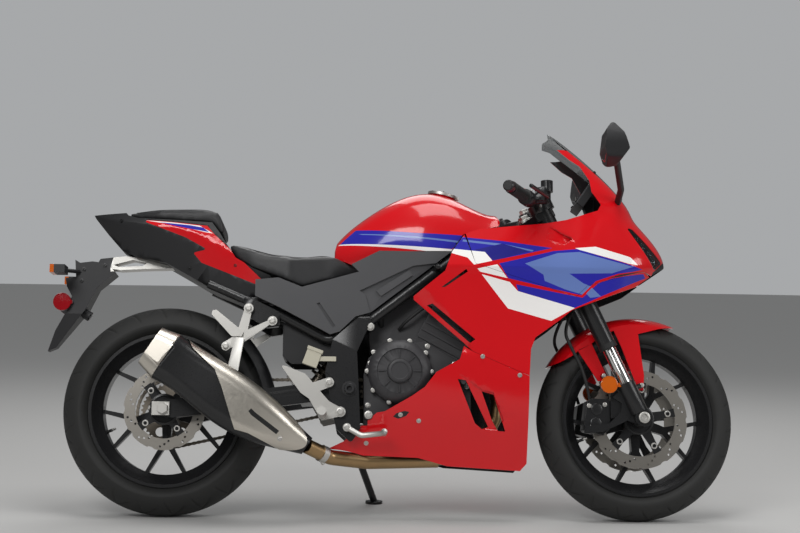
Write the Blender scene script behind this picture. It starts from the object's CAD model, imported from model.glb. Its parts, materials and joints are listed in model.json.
"""Looks of a sport bike on its side stand: painted panels, metal, tread, seats and fasteners."""

from __future__ import annotations

import json
import logging
from dataclasses import dataclass, replace
from enum import Enum
from math import acos, atan, atan2, cos, dist, hypot, pi, radians, sin, sqrt, tan

import bmesh
import bpy
import numpy as np
from bpy.types import Material, Mesh, Node, NodeSocket, NodeTree, Object
from mathutils import Matrix, Vector
from mathutils.bvhtree import BVHTree

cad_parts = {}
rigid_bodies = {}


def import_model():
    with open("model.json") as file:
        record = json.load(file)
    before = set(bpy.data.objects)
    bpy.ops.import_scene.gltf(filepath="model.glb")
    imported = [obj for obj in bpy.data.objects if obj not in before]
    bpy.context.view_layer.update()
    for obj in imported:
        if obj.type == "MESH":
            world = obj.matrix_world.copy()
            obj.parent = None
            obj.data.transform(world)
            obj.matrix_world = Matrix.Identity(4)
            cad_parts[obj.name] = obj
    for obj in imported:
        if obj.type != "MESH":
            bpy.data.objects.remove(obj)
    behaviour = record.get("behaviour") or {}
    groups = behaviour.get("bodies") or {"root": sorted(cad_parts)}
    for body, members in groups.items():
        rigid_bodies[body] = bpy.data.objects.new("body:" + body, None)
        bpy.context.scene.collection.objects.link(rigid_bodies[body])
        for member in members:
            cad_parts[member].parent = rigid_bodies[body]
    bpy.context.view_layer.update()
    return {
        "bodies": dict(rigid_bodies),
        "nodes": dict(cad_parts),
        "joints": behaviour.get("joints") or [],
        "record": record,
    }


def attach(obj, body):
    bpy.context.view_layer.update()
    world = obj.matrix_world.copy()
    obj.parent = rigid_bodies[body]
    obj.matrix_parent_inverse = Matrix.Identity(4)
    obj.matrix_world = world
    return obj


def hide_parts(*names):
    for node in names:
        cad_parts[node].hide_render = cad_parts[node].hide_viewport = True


LOG = logging.getLogger("sport_bike")

Point = tuple[float, float, float]
Flat = tuple[float, float]
Profile = tuple[Flat, ...]
# A solid that keeps its form: node, finish and softened edge.
Plain = tuple[str, str, float]

MM_PER_M = 1000.0


class Side(Enum):
    """Sides of the bike as signs along its own left axis."""

    RIGHT = -1
    LEFT = 1

    def out(self) -> Vector:
        """Direction away from the bike's middle."""
        return Vector((0, self.value, 0))

    def place(self, point: Point | Vector) -> Vector:
        """A point as it is for the left side, and mirrored for the right one."""
        return Vector((point[0], point[1] * self.value, point[2]))


class Grain(Enum):
    """How a finish's surface was made, which sets the pattern on it."""

    SPRAYED = "sprayed"
    MOULDED = "moulded"
    CAST = "cast"
    BRUSHED = "brushed"
    TURNED = "turned"
    HIDE = "hide"
    CLEAR = "clear"


def linear(code: str) -> tuple[float, float, float, float]:
    """Turn an sRGB hex code into a linear colour.

    Args:
        code: A hash and six hex digits.

    Returns:
        Linear red, green, blue and an alpha of 1.
    """
    values = [int(code[i:i + 2], 16) / 255 for i in (1, 3, 5)]
    parts = [v / 12.92 if v <= 0.04045 else ((v + 0.055) / 1.055) ** 2.4 for v in values]
    return (parts[0], parts[1], parts[2], 1.0)


def spoke(degrees: float) -> Vector:
    """Direction in the side view, in degrees up from ahead."""
    return Vector((cos(radians(degrees)), 0, sin(radians(degrees))))


def add_node(tree: NodeTree, kind: str, settings: dict | None = None,
             links: dict | None = None) -> Node:
    """Add one node with its settings and its incoming links.

    Args:
        tree: Node tree that gets the node.
        kind: Blender's node type name.
        settings: Attributes, or input values keyed by socket name or number.
        links: Output sockets keyed by this node's input name or number.

    Returns:
        The new node.
    """
    node = tree.nodes.new(kind)
    for key, value in (settings or {}).items():
        if isinstance(key, str) and hasattr(node, key):
            setattr(node, key, value)
        else:
            node.inputs[key].default_value = value
    for key, socket in (links or {}).items():
        tree.links.new(socket, node.inputs[key])
    return node


@dataclass(frozen=True)
class Finish:
    """One real material: its colour, its gloss and the pattern its making left.

    Sizes of patterns are in millimetres.
    """

    name: str
    colour: str
    grain: Grain
    roughness: float
    metallic: float = 0.0
    coat: float = 0.0
    pattern_mm: float = 2.0
    depth: float = 0.1
    shade: float = 0.06
    rough_swing: float = 0.08
    transmission: float = 0.0
    ior: float = 1.5
    stretch: Point = (1.0, 1.0, 1.0)
    turn_deg: Point = (0.0, 0.0, 0.0)
    centre_m: Point = (0.0, 0.0, 0.0)

    # Every clear coat's roughness, and the faint gloss of the colour under it.
    COAT_ROUGHNESS = 0.09
    UNDER_COAT_GLOSS = 0.1
    # Scale of the slow change of tone, and the bump's height as a share of the pattern.
    MOTTLES_PER_M = 11.0
    BUMP_SHARE = 0.25

    def build(self) -> Material:
        """Make the procedural material for this finish.

        Returns:
            The new material.
        """
        material = bpy.data.materials.new(self.name)
        material.use_nodes = True
        tree = material.node_tree
        shader = tree.nodes["Principled BSDF"]
        coords = add_node(tree, "ShaderNodeTexCoord")
        placed = add_node(
            tree, "ShaderNodeMapping",
            {"Location": self.centre_m, "Rotation": tuple(radians(a) for a in self.turn_deg)},
            {"Vector": coords.outputs["Object"]},
        )
        shader.inputs["Metallic"].default_value = self.metallic
        if not self.metallic:
            shader.inputs["IOR"].default_value = self.ior
        shader.inputs["Coat Weight"].default_value = self.coat
        if self.coat:
            shader.inputs["Specular IOR Level"].default_value = self.UNDER_COAT_GLOSS
        shader.inputs["Coat Roughness"].default_value = self.COAT_ROUGHNESS
        shader.inputs["Transmission Weight"].default_value = self.transmission
        height = self.pattern(tree, placed)
        # Slow change of tone over about a hand's width.
        mottle = add_node(tree, "ShaderNodeTexNoise", {"Scale": self.MOTTLES_PER_M, "Detail": 3.0},
                          {"Vector": coords.outputs["Object"]})
        tone = add_node(tree, "ShaderNodeMapRange", {"To Min": 1 - self.shade, "To Max": 1 + self.shade},
                        {"Value": mottle.outputs[0]})
        # Of the mix node's sockets, 0 is the share, 6 and 7 are the colours and 2 is the mixed colour.
        tint = add_node(tree, "ShaderNodeMix",
                        {"data_type": "RGBA", "blend_type": "MULTIPLY", 0: 1.0, 6: linear(self.colour)},
                        {7: tone.outputs["Result"]})
        tree.links.new(tint.outputs[2], shader.inputs["Base Color"])
        gloss = add_node(tree, "ShaderNodeMapRange", {
            "To Min": max(0.0, self.roughness - self.rough_swing),
            "To Max": min(1.0, self.roughness + self.rough_swing),
        }, {"Value": height})
        tree.links.new(gloss.outputs["Result"], shader.inputs["Roughness"])
        if self.depth:
            distance = self.pattern_mm * self.BUMP_SHARE / MM_PER_M
            bump = add_node(tree, "ShaderNodeBump", {"Strength": self.depth, "Distance": distance},
                            {"Height": height})
            tree.links.new(bump.outputs["Normal"], shader.inputs["Normal"])
        return material

    def pattern(self, tree: NodeTree, placed: Node) -> NodeSocket:
        """Fine pattern of the surface, by how it was made.

        Args:
            tree: The material's tree.
            placed: Coordinates turned and centred for the pattern.

        Returns:
            A height from 0 to 1.
        """
        scale = MM_PER_M / self.pattern_mm
        if self.grain is Grain.HIDE:
            cells = add_node(tree, "ShaderNodeTexVoronoi", {"Scale": scale, "feature": "DISTANCE_TO_EDGE"},
                             {"Vector": placed.outputs["Vector"]})
            lifted = add_node(tree, "ShaderNodeMapRange", {"From Max": 0.22},
                              {"Value": cells.outputs["Distance"]})
            return lifted.outputs["Result"]
        if self.grain is Grain.TURNED:
            flat = add_node(tree, "ShaderNodeVectorMath", {"operation": "MULTIPLY", 1: (1.0, 0.0, 1.0)},
                            {0: placed.outputs["Vector"]})
            radius = add_node(tree, "ShaderNodeVectorMath", {"operation": "LENGTH"},
                              {0: flat.outputs["Vector"]})
            rings = add_node(tree, "ShaderNodeTexNoise",
                             {"noise_dimensions": "1D", "Scale": scale, "Detail": 2.0},
                             {"W": radius.outputs["Value"]})
            return rings.outputs[0]
        shaped = add_node(tree, "ShaderNodeVectorMath", {"operation": "MULTIPLY", 1: self.stretch},
                          {0: placed.outputs["Vector"]})
        detail = 4.0 if self.grain is Grain.CAST else 2.0
        noise = add_node(tree, "ShaderNodeTexNoise", {"Scale": scale, "Detail": detail},
                         {"Vector": shaped.outputs["Vector"]})
        return noise.outputs[0]


class FinishShelf:
    """All finishes of the bike, built on first use."""

    def __init__(self, finishes: list[Finish]) -> None:
        """Keep the finishes by name."""
        self.finishes = {finish.name: finish for finish in finishes}
        self.built: dict[str, Material] = {}

    def centred(self, name: str, middle: Vector, new_name: str) -> str:
        """Add a copy of a finish whose rings run round a point, and give the copy's name."""
        self.finishes[new_name] = replace(self.finishes[name], name=new_name, centre_m=tuple(-middle))
        return new_name

    def get(self, name: str) -> Material:
        """Give the material of a finish.

        Args:
            name: The finish's name.

        Returns:
            The material, built once.
        """
        if name not in self.built:
            self.built[name] = self.finishes[name].build()
        return self.built[name]


class BikeFrame:
    """The upright bike's axes, in millimetres from the rear axle's ground point, and the way to the scene."""

    REAR_RADIUS = 312.0
    FRONT_RADIUS = 300.0
    WHEELBASE = 1410.0
    TRAIL = 102.0
    RAKE_DEG = 25.5
    STEER_DEG = 5.0

    def __init__(self, joints: list[dict]) -> None:
        """Work the frame out from the rear wheel's joint.

        Args:
            joints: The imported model's joints.
        """
        spin = next(joint for joint in joints if joint["name"] == "rear_wheel_spin")
        left = Vector(spin["axis"]).normalized()
        pitch = atan(left.x / left.z)
        ahead = Vector((cos(pitch), 0.0, -sin(pitch)))
        up = ahead.cross(left)
        origin = Vector(spin["pos_m"]) - up * (self.REAR_RADIUS / MM_PER_M)
        rows = [(ahead[i] / MM_PER_M, left[i] / MM_PER_M, up[i] / MM_PER_M, origin[i]) for i in range(3)]
        self.matrix = Matrix((*rows, (0, 0, 0, 1)))
        rake = radians(self.RAKE_DEG)
        foot = Matrix.Translation((self.WHEELBASE + self.TRAIL, 0, 0))
        self.steer_axis = Vector((-sin(rake), 0, cos(rake)))
        turn = foot @ Matrix.Rotation(radians(self.STEER_DEG), 4, self.steer_axis) @ foot.inverted()
        self.steered = self.matrix @ turn

    def matrix_for(self, body: str) -> Matrix:
        """Way from bike millimetres to the scene for a body, turned with the bars for what is steered."""
        return self.steered if body in ("steering", "front_wheel") else self.matrix

    def fork_point(self, height: float, across: float) -> Vector:
        """Point of a fork tube's axis at a height above the ground and an offset to the left."""
        rake = radians(self.RAKE_DEG)
        return Vector((self.WHEELBASE + (self.FRONT_RADIUS - height) * tan(rake), across, height))


class Draft:
    """A mesh under way, in bike millimetres, with a finish for each face."""

    MERGE_M = 1e-6
    # A turned tip keeps this radius, so that its ring does not fall into one point.
    TIP_MM = 0.02

    def __init__(self) -> None:
        """Start with nothing drawn."""
        self.verts: list[Vector] = []
        self.faces: list[tuple[int, ...]] = []
        self.finish_of: list[str] = []

    def skin(self, rows: list[list[Vector]], finish: str, around: bool = False, ends: bool = False) -> None:
        """Join rows of points into a skin.

        Args:
            rows: Rows of as many points each.
            finish: The skin's finish.
            around: Whether each row closes on itself.
            ends: Whether the first and last rows are filled.
        """
        start = len(self.verts)
        width = len(rows[0])
        for row in rows:
            self.verts.extend(row)
        made = []
        for i in range(len(rows) - 1):
            for j in range(width if around else width - 1):
                a = start + i * width + j
                b = start + i * width + (j + 1) % width
                made.append((a, b, b + width, a + width))
        if ends:
            made.append(tuple(start + j for j in reversed(range(width))))
            made.append(tuple(start + (len(rows) - 1) * width + j for j in range(width)))
        self.faces += made
        self.finish_of += [finish] * len(made)

    def turned(self, start: Point | Vector, axis: Point | Vector, profile: Profile, finish: str,
               steps: int = 24) -> None:
        """Turn a profile about an axis.

        Args:
            start: Where the axis starts.
            axis: Its direction.
            profile: Pairs of radius and distance along the axis.
            finish: The finish.
            steps: Number of flats round it.
        """
        along = Vector(axis).normalized()
        first = along.orthogonal().normalized()
        second = along.cross(first)
        angles = [2 * pi * i / steps for i in range(steps)]
        spokes = [first * cos(a) + second * sin(a) for a in angles]
        rows = [[Vector(start) + along * reach + spoke * max(radius, self.TIP_MM) for spoke in spokes]
                for radius, reach in profile]
        self.skin(rows, finish, around=True, ends=True)

    def plate(self, outline: Profile | list[Flat], low: float, high: float, finish: str) -> None:
        """Raise an outline of the side view, points as x and z, between two offsets across the bike."""
        rows = [[Vector((x, y, z)) for x, z in outline] for y in (low, high)]
        self.skin(rows, finish, around=True, ends=True)

    def block(self, pose: Matrix, size: Point, finish: str) -> None:
        """Add a block.

        Args:
            pose: Its place and turn.
            size: Its three sizes.
            finish: The finish.
        """
        a, b, c = [s / 2 for s in size]
        ring = [(-a, -b), (a, -b), (a, b), (-a, b)]
        rows = [[pose @ Vector((x, y, z)) for x, y in ring] for z in (-c, c)]
        self.skin(rows, finish, around=True, ends=True)

    def tube(self, path: tuple[Point, ...] | list[Vector], radius: float, finish: str, steps: int = 12,
             fine: int = 6) -> None:
        """Sweep a round section along a smooth path through points.

        Args:
            path: The points.
            radius: The section's radius.
            finish: The finish.
            steps: Flats round the section.
            fine: Steps between two points.
        """
        spots = [Vector(p) for p in path]
        ends = [spots[0] * 2 - spots[1], *spots, spots[-1] * 2 - spots[-2]]
        line = []
        for i in range(1, len(ends) - 2):
            a, b, c, d = ends[i - 1:i + 3]
            for k in range(fine):
                t = k / fine
                line.append(0.5 * (2 * b + (c - a) * t + (2 * a - 5 * b + 4 * c - d) * t ** 2
                                   + (3 * b - a - 3 * c + d) * t ** 3))
        line.append(spots[-1])
        heading = (line[1] - line[0]).normalized()
        first = heading.orthogonal().normalized()
        rows = []
        for i, spot in enumerate(line):
            ahead = (line[min(i + 1, len(line) - 1)] - line[max(i - 1, 0)]).normalized()
            first = (first - ahead * first.dot(ahead)).normalized()
            second = ahead.cross(first)
            angles = [2 * pi * k / steps for k in range(steps)]
            rows.append([spot + (first * cos(a) + second * sin(a)) * radius for a in angles])
        self.skin(rows, finish, around=True, ends=True)

    def sheet(self, loops: list[list[Flat]], low: float, high: float, finish: str) -> None:
        """Cut a flat sheet with holes, upright along the bike.

        Args:
            loops: The outline and the holes, points as x and z.
            low: Where the sheet starts across the bike.
            high: Where it ends.
            finish: The finish.
        """
        curve = bpy.data.curves.new("sheet", "CURVE")
        curve.dimensions = "2D"
        curve.fill_mode = "BOTH"
        curve.extrude = (high - low) / 2
        for loop in loops:
            spline = curve.splines.new("POLY")
            spline.points.add(len(loop) - 1)
            for point, (x, z) in zip(spline.points, loop):
                point.co = (x, z, 0, 1)
            spline.use_cyclic_u = True
        holder = bpy.data.objects.new("sheet", curve)
        mesh = bpy.data.meshes.new_from_object(holder)
        start = len(self.verts)
        middle = (low + high) / 2
        self.verts.extend(Vector((v.co.x, middle + v.co.z, v.co.y)) for v in mesh.vertices)
        self.faces += [tuple(start + i for i in face.vertices) for face in mesh.polygons]
        self.finish_of += [finish] * len(mesh.polygons)
        bpy.data.objects.remove(holder)
        bpy.data.curves.remove(curve)
        bpy.data.meshes.remove(mesh)

    def mesh(self, name: str, shelf: FinishShelf, matrix: Matrix) -> Mesh:
        """Make the drawn mesh.

        Args:
            name: Its name.
            shelf: Where the finishes come from.
            matrix: Way to the scene.

        Returns:
            The mesh, in place.
        """
        mesh = bpy.data.meshes.new(name)
        mesh.from_pydata([matrix @ v for v in self.verts], [], self.faces)
        names = sorted(set(self.finish_of))
        for finish in names:
            mesh.materials.append(shelf.get(finish))
        mesh.polygons.foreach_set("material_index", [names.index(finish) for finish in self.finish_of])
        shape = bmesh.new()
        shape.from_mesh(mesh)
        bmesh.ops.remove_doubles(shape, verts=shape.verts, dist=self.MERGE_M)
        bmesh.ops.recalc_face_normals(shape, faces=shape.faces)
        for face in shape.faces:
            face.smooth = True
        shape.to_mesh(mesh)
        shape.free()
        return mesh


@dataclass(frozen=True)
class Spot:
    """Place of a repeated shape in bike millimetres, with the way it points and its size."""

    place: Vector
    axis: Vector
    size: float = 1.0
    spin: Vector = Vector((0.31, 0.17, 0.93))


class Repeater:
    """Puts one shape at many spots with a node tree and gives them as one plain mesh."""

    def __init__(self, shelf: FinishShelf) -> None:
        """Build the node tree once.

        Args:
            shelf: Where the finishes come from.
        """
        self.shelf = shelf
        tree = bpy.data.node_groups.new("repeat_shape", "GeometryNodeTree")
        for name, kind in [("Spots", "Geometry"), ("Shape", "Object"), ("Finish", "Material")]:
            tree.interface.new_socket(name, in_out="INPUT", socket_type=f"NodeSocket{kind}")
        tree.interface.new_socket("Result", in_out="OUTPUT", socket_type="NodeSocketGeometry")
        source = add_node(tree, "NodeGroupInput")
        shape = add_node(tree, "GeometryNodeObjectInfo", {}, {"Object": source.outputs["Shape"]})
        axis, spin, size = [
            add_node(tree, "GeometryNodeInputNamedAttribute", {"data_type": kind, "Name": name})
            for name, kind in [("axis", "FLOAT_VECTOR"), ("spin", "FLOAT_VECTOR"), ("size", "FLOAT")]
        ]
        turn = add_node(tree, "FunctionNodeAxesToRotation", {"primary_axis": "Z", "secondary_axis": "X"},
                        {0: axis.outputs[0], 1: spin.outputs[0]})
        spread = add_node(tree, "GeometryNodeInstanceOnPoints", {}, {
            "Points": source.outputs["Spots"], "Instance": shape.outputs["Geometry"],
            "Rotation": turn.outputs[0], "Scale": size.outputs[0],
        })
        whole = add_node(tree, "GeometryNodeRealizeInstances", {}, {"Geometry": spread.outputs["Instances"]})
        painted = add_node(tree, "GeometryNodeSetMaterial", {},
                           {"Geometry": whole.outputs["Geometry"], "Material": source.outputs["Finish"]})
        add_node(tree, "NodeGroupOutput", {}, {"Result": painted.outputs["Geometry"]})
        self.tree = tree
        inputs = [item for item in tree.interface.items_tree if item.in_out == "INPUT"]
        self.key = {item.name: item.identifier for item in inputs}

    def spread(self, name: str, shape: Draft, spots: list[Spot], finish: str,
               matrix: Matrix) -> Mesh:
        """Put a shape at every spot.

        Args:
            name: Name of the mesh.
            shape: The shape, drawn at the origin along z in millimetres.
            spots: Where it goes.
            finish: Its finish.
            matrix: Way to the scene.

        Returns:
            One mesh with all copies, in place.
        """
        single = shape.mesh("shape", self.shelf, Matrix.Scale(1 / MM_PER_M, 4))
        template = bpy.data.objects.new("shape", single)
        points = bpy.data.meshes.new("spots")
        points.from_pydata([matrix @ spot.place for spot in spots], [], [])
        turn = matrix.to_3x3()
        for key in ("axis", "spin"):
            values = [c for spot in spots for c in (turn @ getattr(spot, key)).normalized()]
            points.attributes.new(key, "FLOAT_VECTOR", "POINT").data.foreach_set("vector", values)
        sizes = points.attributes.new("size", "FLOAT", "POINT")
        sizes.data.foreach_set("value", [spot.size for spot in spots])
        holder = bpy.data.objects.new(name, points)
        for item in (template, holder):
            bpy.context.scene.collection.objects.link(item)
        modifier = holder.modifiers.new("repeat", "NODES")
        modifier.node_group = self.tree
        modifier[self.key["Shape"]] = template
        modifier[self.key["Finish"]] = self.shelf.get(finish)
        graph = bpy.context.evaluated_depsgraph_get()
        mesh = bpy.data.meshes.new_from_object(holder.evaluated_get(graph), depsgraph=graph)
        mesh.name = name
        for key in ("axis", "spin", "size"):
            if key in mesh.attributes:
                mesh.attributes.remove(mesh.attributes[key])
        for item in (holder, template):
            bpy.data.objects.remove(item)
        return mesh


@dataclass(frozen=True)
class Stripe:
    """A painted area of the side view, with the reach across the bike that it covers."""

    finish: str
    corners: Profile
    reach: Flat = (0.0, 500.0)

    def holds(self, point: Vector) -> bool:
        """Whether a point lies in the area.

        Args:
            point: The point in bike millimetres.

        Returns:
            True inside.
        """
        x, y, z = point
        if not self.reach[0] <= abs(y) <= self.reach[1]:
            return False
        inside = False
        for (x0, z0), (x1, z1) in zip(self.corners, self.corners[1:] + self.corners[:1]):
            if (z0 > z) != (z1 > z) and x < (x1 - x0) * (z - z0) / (z1 - z0) + x0:
                inside = not inside
        return inside


@dataclass(frozen=True)
class Inlet:
    """A hollow or a folded edge of a panel, deepening between two points of the side view."""

    area: Stripe
    shallow: Flat
    deep: Flat
    depth: float
    fold: bool = False

    # Least depth of a hollow as a share, so that its floor never lies in the panel's skin.
    LEAST_SHARE = 0.02

    def push(self, x: float, z: float) -> float:
        """How far the panel is pressed in.

        Args:
            x: Distance ahead.
            z: Height.

        Returns:
            The depth in millimetres.
        """
        ahead, up = self.deep[0] - self.shallow[0], self.deep[1] - self.shallow[1]
        share = ((x - self.shallow[0]) * ahead + (z - self.shallow[1]) * up) / (ahead ** 2 + up ** 2)
        return self.depth * min(1.0, max(0.0 if self.fold else self.LEAST_SHARE, share))


class BodyShop:
    """Makes finished pieces: dressed copies of the solids and new meshes."""

    MERGE_M = 2e-5
    SLIVER_M = 1e-6
    # Edges flatter than the first may be turned, and those flatter than the second are dissolved.
    TURN_DEG = 14.0
    FLAT_DEG = 0.6
    # A face looks inwards that slopes so well off the middle, or that sees a wall only beyond a gap.
    OFF_MIDDLE_MM = 25.0
    INWARD_SLOPE = 0.3
    CLEAR_MM = 0.5
    GAP_MM = 60.0
    SIGHT_MM = 900.0
    CUT_MARGIN_MM = 1.0
    CUT_MM = 1e-3
    BEVEL_DEG = 38.0
    CRISP_DEG = 35.0
    EVEN_WEIGHT = 80

    def __init__(self, frame: dict, bike: BikeFrame, shelf: FinishShelf) -> None:
        """Keep what the pieces are made from.

        Args:
            frame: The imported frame.
            bike: The bike's axes.
            shelf: The finishes.
        """
        self.frame = frame
        self.bike = bike
        self.shelf = shelf
        self.repeater = Repeater(shelf)
        bodies = frame["record"]["behaviour"]["bodies"]
        self.body_of = {node: body for body, nodes in bodies.items() for node in nodes}
        self.slot_of = {part["node"]: part["material_slot"] for part in frame["record"]["subparts"]}
        self.trees: dict[tuple[str, ...], BVHTree] = {}

    def surface(self, nodes: tuple[str, ...]) -> BVHTree:
        """Search tree of some nodes' surfaces, in bike millimetres.

        Args:
            nodes: The nodes.

        Returns:
            The tree, built once.
        """
        if nodes not in self.trees:
            back = self.bike.matrix_for(self.body_of[nodes[0]]).inverted()
            verts: list[Vector] = []
            faces: list[tuple[int, ...]] = []
            for node in nodes:
                mesh = self.frame["nodes"][node].data
                start = len(verts)
                verts += [back @ v.co for v in mesh.vertices]
                faces += [tuple(start + i for i in face.vertices) for face in mesh.polygons]
            self.trees[nodes] = BVHTree.FromPolygons(verts, faces)
        return self.trees[nodes]

    def spots_on(self, nodes: tuple[str, ...], places: list[Point], toward: Point | Vector,
                 size: float) -> list[Spot]:
        """Spots where lines meet a surface.

        Args:
            nodes: Nodes that carry the spots.
            places: Where the lines start.
            toward: The lines' direction.
            size: The spots' size.

        Returns:
            One spot for each line that meets the surface.
        """
        spots = []
        for place in places:
            found, normal, _, _ = self.surface(nodes).ray_cast(Vector(place), Vector(toward))
            if found is not None:
                out = normal if normal.dot(Vector(toward)) < 0 else -normal
                spots.append(Spot(found, out, size))
        return spots

    def dressed(self, node: str, finish: str, bevel_mm: float = 0.0, smooth_deg: float = 30.0,
                stripes: tuple[Stripe, ...] = (), shell: tuple[str, ...] = (), inside: str = "",
                inlets: tuple[Inlet, ...] = (), even: bool = False) -> None:
        """Copy a solid's mesh, merge it, smooth it and paint it.

        Args:
            node: The node to copy and stand for.
            finish: Its main finish.
            bevel_mm: Width of the softened edges, or 0.
            smooth_deg: Edges sharper than this stay crisp.
            stripes: Painted areas over the main finish, the last on top.
            shell: Nodes that enclose the inside of this one.
            inside: Finish of the faces that look into the shell.
            inlets: Hollows pressed into it.
            even: Whether long thin triangles are turned for smoother shading.
        """
        body = self.body_of[node]
        matrix = self.bike.matrix_for(body)
        mesh = self.frame["nodes"][node].data.copy()
        mesh.name = f"{node}_skin"
        mesh.materials.clear()
        shape = bmesh.new()
        shape.from_mesh(mesh)
        bmesh.ops.remove_doubles(shape, verts=shape.verts, dist=self.MERGE_M)
        bmesh.ops.dissolve_degenerate(shape, edges=shape.edges, dist=self.SLIVER_M)
        if even:
            soft = [edge for edge in shape.edges if edge.calc_face_angle(1.0) < radians(self.TURN_DEG)]
            bmesh.ops.beautify_fill(shape, faces=shape.faces, edges=soft, method="ANGLE")
        if bevel_mm:
            bmesh.ops.dissolve_limit(shape, angle_limit=radians(self.FLAT_DEG), verts=shape.verts,
                                     edges=shape.edges)
        bmesh.ops.transform(shape, matrix=matrix.inverted(), verts=shape.verts)
        names = [finish]
        for face in shape.faces:
            face.material_index = 0
            face.smooth = True
        for stripe in stripes:
            if stripe.finish not in names:
                names.append(stripe.finish)
            self.cut(shape, stripe.corners)
            for face in shape.faces:
                if stripe.holds(face.calc_center_median()):
                    face.material_index = names.index(stripe.finish)
        if inside:
            names.append(inside)
            walls = self.surface(shell)
            for face in shape.faces:
                if self.looks_inward(face, walls):
                    face.material_index = len(names) - 1
        for inlet in inlets:
            self.press(shape, inlet)
        bmesh.ops.transform(shape, matrix=matrix, verts=shape.verts)
        for name in names:
            mesh.materials.append(self.shelf.get(name))
        shape.to_mesh(mesh)
        shape.free()
        piece = self.piece(f"{node}_piece", mesh, body, self.slot_of[node])
        self.soften(piece, bevel_mm, smooth_deg)
        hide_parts(node)

    def looks_inward(self, face: bmesh.types.BMFace, walls: BVHTree) -> bool:
        """Whether a face belongs to the inside of a shell.

        Args:
            face: The face, in bike millimetres.
            walls: Search tree of the shell.

        Returns:
            True for an inner face.
        """
        middle = face.calc_center_median()
        off = abs(middle.y)
        if off > self.OFF_MIDDLE_MM and face.normal.y * middle.y < -self.INWARD_SLOPE * off:
            return True
        start = middle + face.normal * self.CLEAR_MM
        near = walls.ray_cast(start, face.normal, self.GAP_MM)[0]
        return near is None and walls.ray_cast(start, face.normal, self.SIGHT_MM)[0] is not None

    @staticmethod
    def cut(shape: bmesh.types.BMesh, corners: Profile) -> None:
        """Cut a mesh along an outline of the side view.

        Args:
            shape: The mesh to cut, in bike millimetres.
            corners: The outline's corners as x and z.
        """
        for (x0, z0), (x1, z1) in zip(corners, corners[1:] + corners[:1]):
            margin = BodyShop.CUT_MARGIN_MM
            low_x, high_x = min(x0, x1) - margin, max(x0, x1) + margin
            low_z, high_z = min(z0, z1) - margin, max(z0, z1) + margin
            near = []
            for face in shape.faces:
                spots = [vert.co for vert in face.verts]
                if (max(c.x for c in spots) > low_x and min(c.x for c in spots) < high_x
                        and max(c.z for c in spots) > low_z and min(c.z for c in spots) < high_z):
                    near.append(face)
            edges = {edge for face in near for edge in face.edges}
            verts = {vert for face in near for vert in face.verts}
            bmesh.ops.bisect_plane(shape, geom=[*near, *edges, *verts], dist=BodyShop.CUT_MM,
                                   plane_co=(x0, 0, z0), plane_no=(z1 - z0, 0, x0 - x1))

    @staticmethod
    def press(shape: bmesh.types.BMesh, inlet: Inlet) -> None:
        """Press an inlet into both skins of a panel, on both sides of the bike.

        Args:
            shape: The mesh to press, in bike millimetres.
            inlet: The inlet.
        """
        BodyShop.cut(shape, inlet.area.corners)
        for side in Side:
            faces = [face for face in shape.faces if inlet.area.holds(face.calc_center_median())
                     and face.calc_center_median().y * side.value > 0]
            if inlet.fold:
                for vert in {vert for face in faces for vert in face.verts}:
                    vert.co.y -= side.value * inlet.push(vert.co.x, vert.co.z)
            elif faces:
                made = bmesh.ops.extrude_face_region(shape, geom=faces)["geom"]
                for vert in (item for item in made if isinstance(item, bmesh.types.BMVert)):
                    vert.co.y -= side.value * inlet.push(vert.co.x, vert.co.z)
                left = [face for face in faces if face.is_valid]
                bmesh.ops.delete(shape, geom=left, context="FACES_ONLY")
        shape.normal_update()

    @staticmethod
    def soften(piece: Object, bevel_mm: float, smooth_deg: float) -> None:
        """Round a piece's edges, or even out its shading where they stay crisp.

        Args:
            piece: The piece.
            bevel_mm: Width of the rounded edges, or 0.
            smooth_deg: Edges sharper than this stay crisp.
        """
        piece.data.set_sharp_from_angle(angle=radians(smooth_deg))
        if bevel_mm:
            bevel = piece.modifiers.new("soft_edges", "BEVEL")
            bevel.width = bevel_mm / MM_PER_M
            bevel.segments = 2
            bevel.limit_method = "ANGLE"
            bevel.angle_limit = radians(BodyShop.BEVEL_DEG)
            bevel.harden_normals = True
        else:
            even = piece.modifiers.new("even_shading", "WEIGHTED_NORMAL")
            even.keep_sharp = True
            even.weight = BodyShop.EVEN_WEIGHT

    def fit(self, draft: Draft, name: str, body: str, slot: str, bevel_mm: float = 0.0,
            smooth_deg: float = CRISP_DEG, replaces: tuple[str, ...] = ()) -> None:
        """Make a piece of a drawn mesh.

        Args:
            draft: The drawing.
            name: The piece's name.
            body: Its body.
            slot: Its material slot in the record.
            bevel_mm: Width of the rounded edges, or 0.
            smooth_deg: Edges sharper than this stay crisp.
            replaces: Nodes that it stands for.
        """
        mesh = draft.mesh(name, self.shelf, self.bike.matrix_for(body))
        piece = self.piece(name, mesh, body, slot)
        self.soften(piece, bevel_mm, smooth_deg)
        if replaces:
            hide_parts(*replaces)

    def repeat(self, name: str, shape: Draft, spots: list[Spot], finish: str = "cast_alloy",
               body: str = "chassis", slot: str = "alloy", replaces: tuple[str, ...] = ()) -> None:
        """Make a piece of one shape at many spots.

        Args:
            name: The piece's name.
            shape: The shape, drawn along z.
            spots: Where it goes.
            finish: Its finish.
            body: Its body.
            slot: Its material slot in the record.
            replaces: Nodes that it stands for.
        """
        mesh = self.repeater.spread(name, shape, spots, finish, self.bike.matrix_for(body))
        piece = self.piece(name, mesh, body, slot)
        piece.data.set_sharp_from_angle(angle=radians(self.CRISP_DEG))
        if replaces:
            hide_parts(*replaces)

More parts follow.
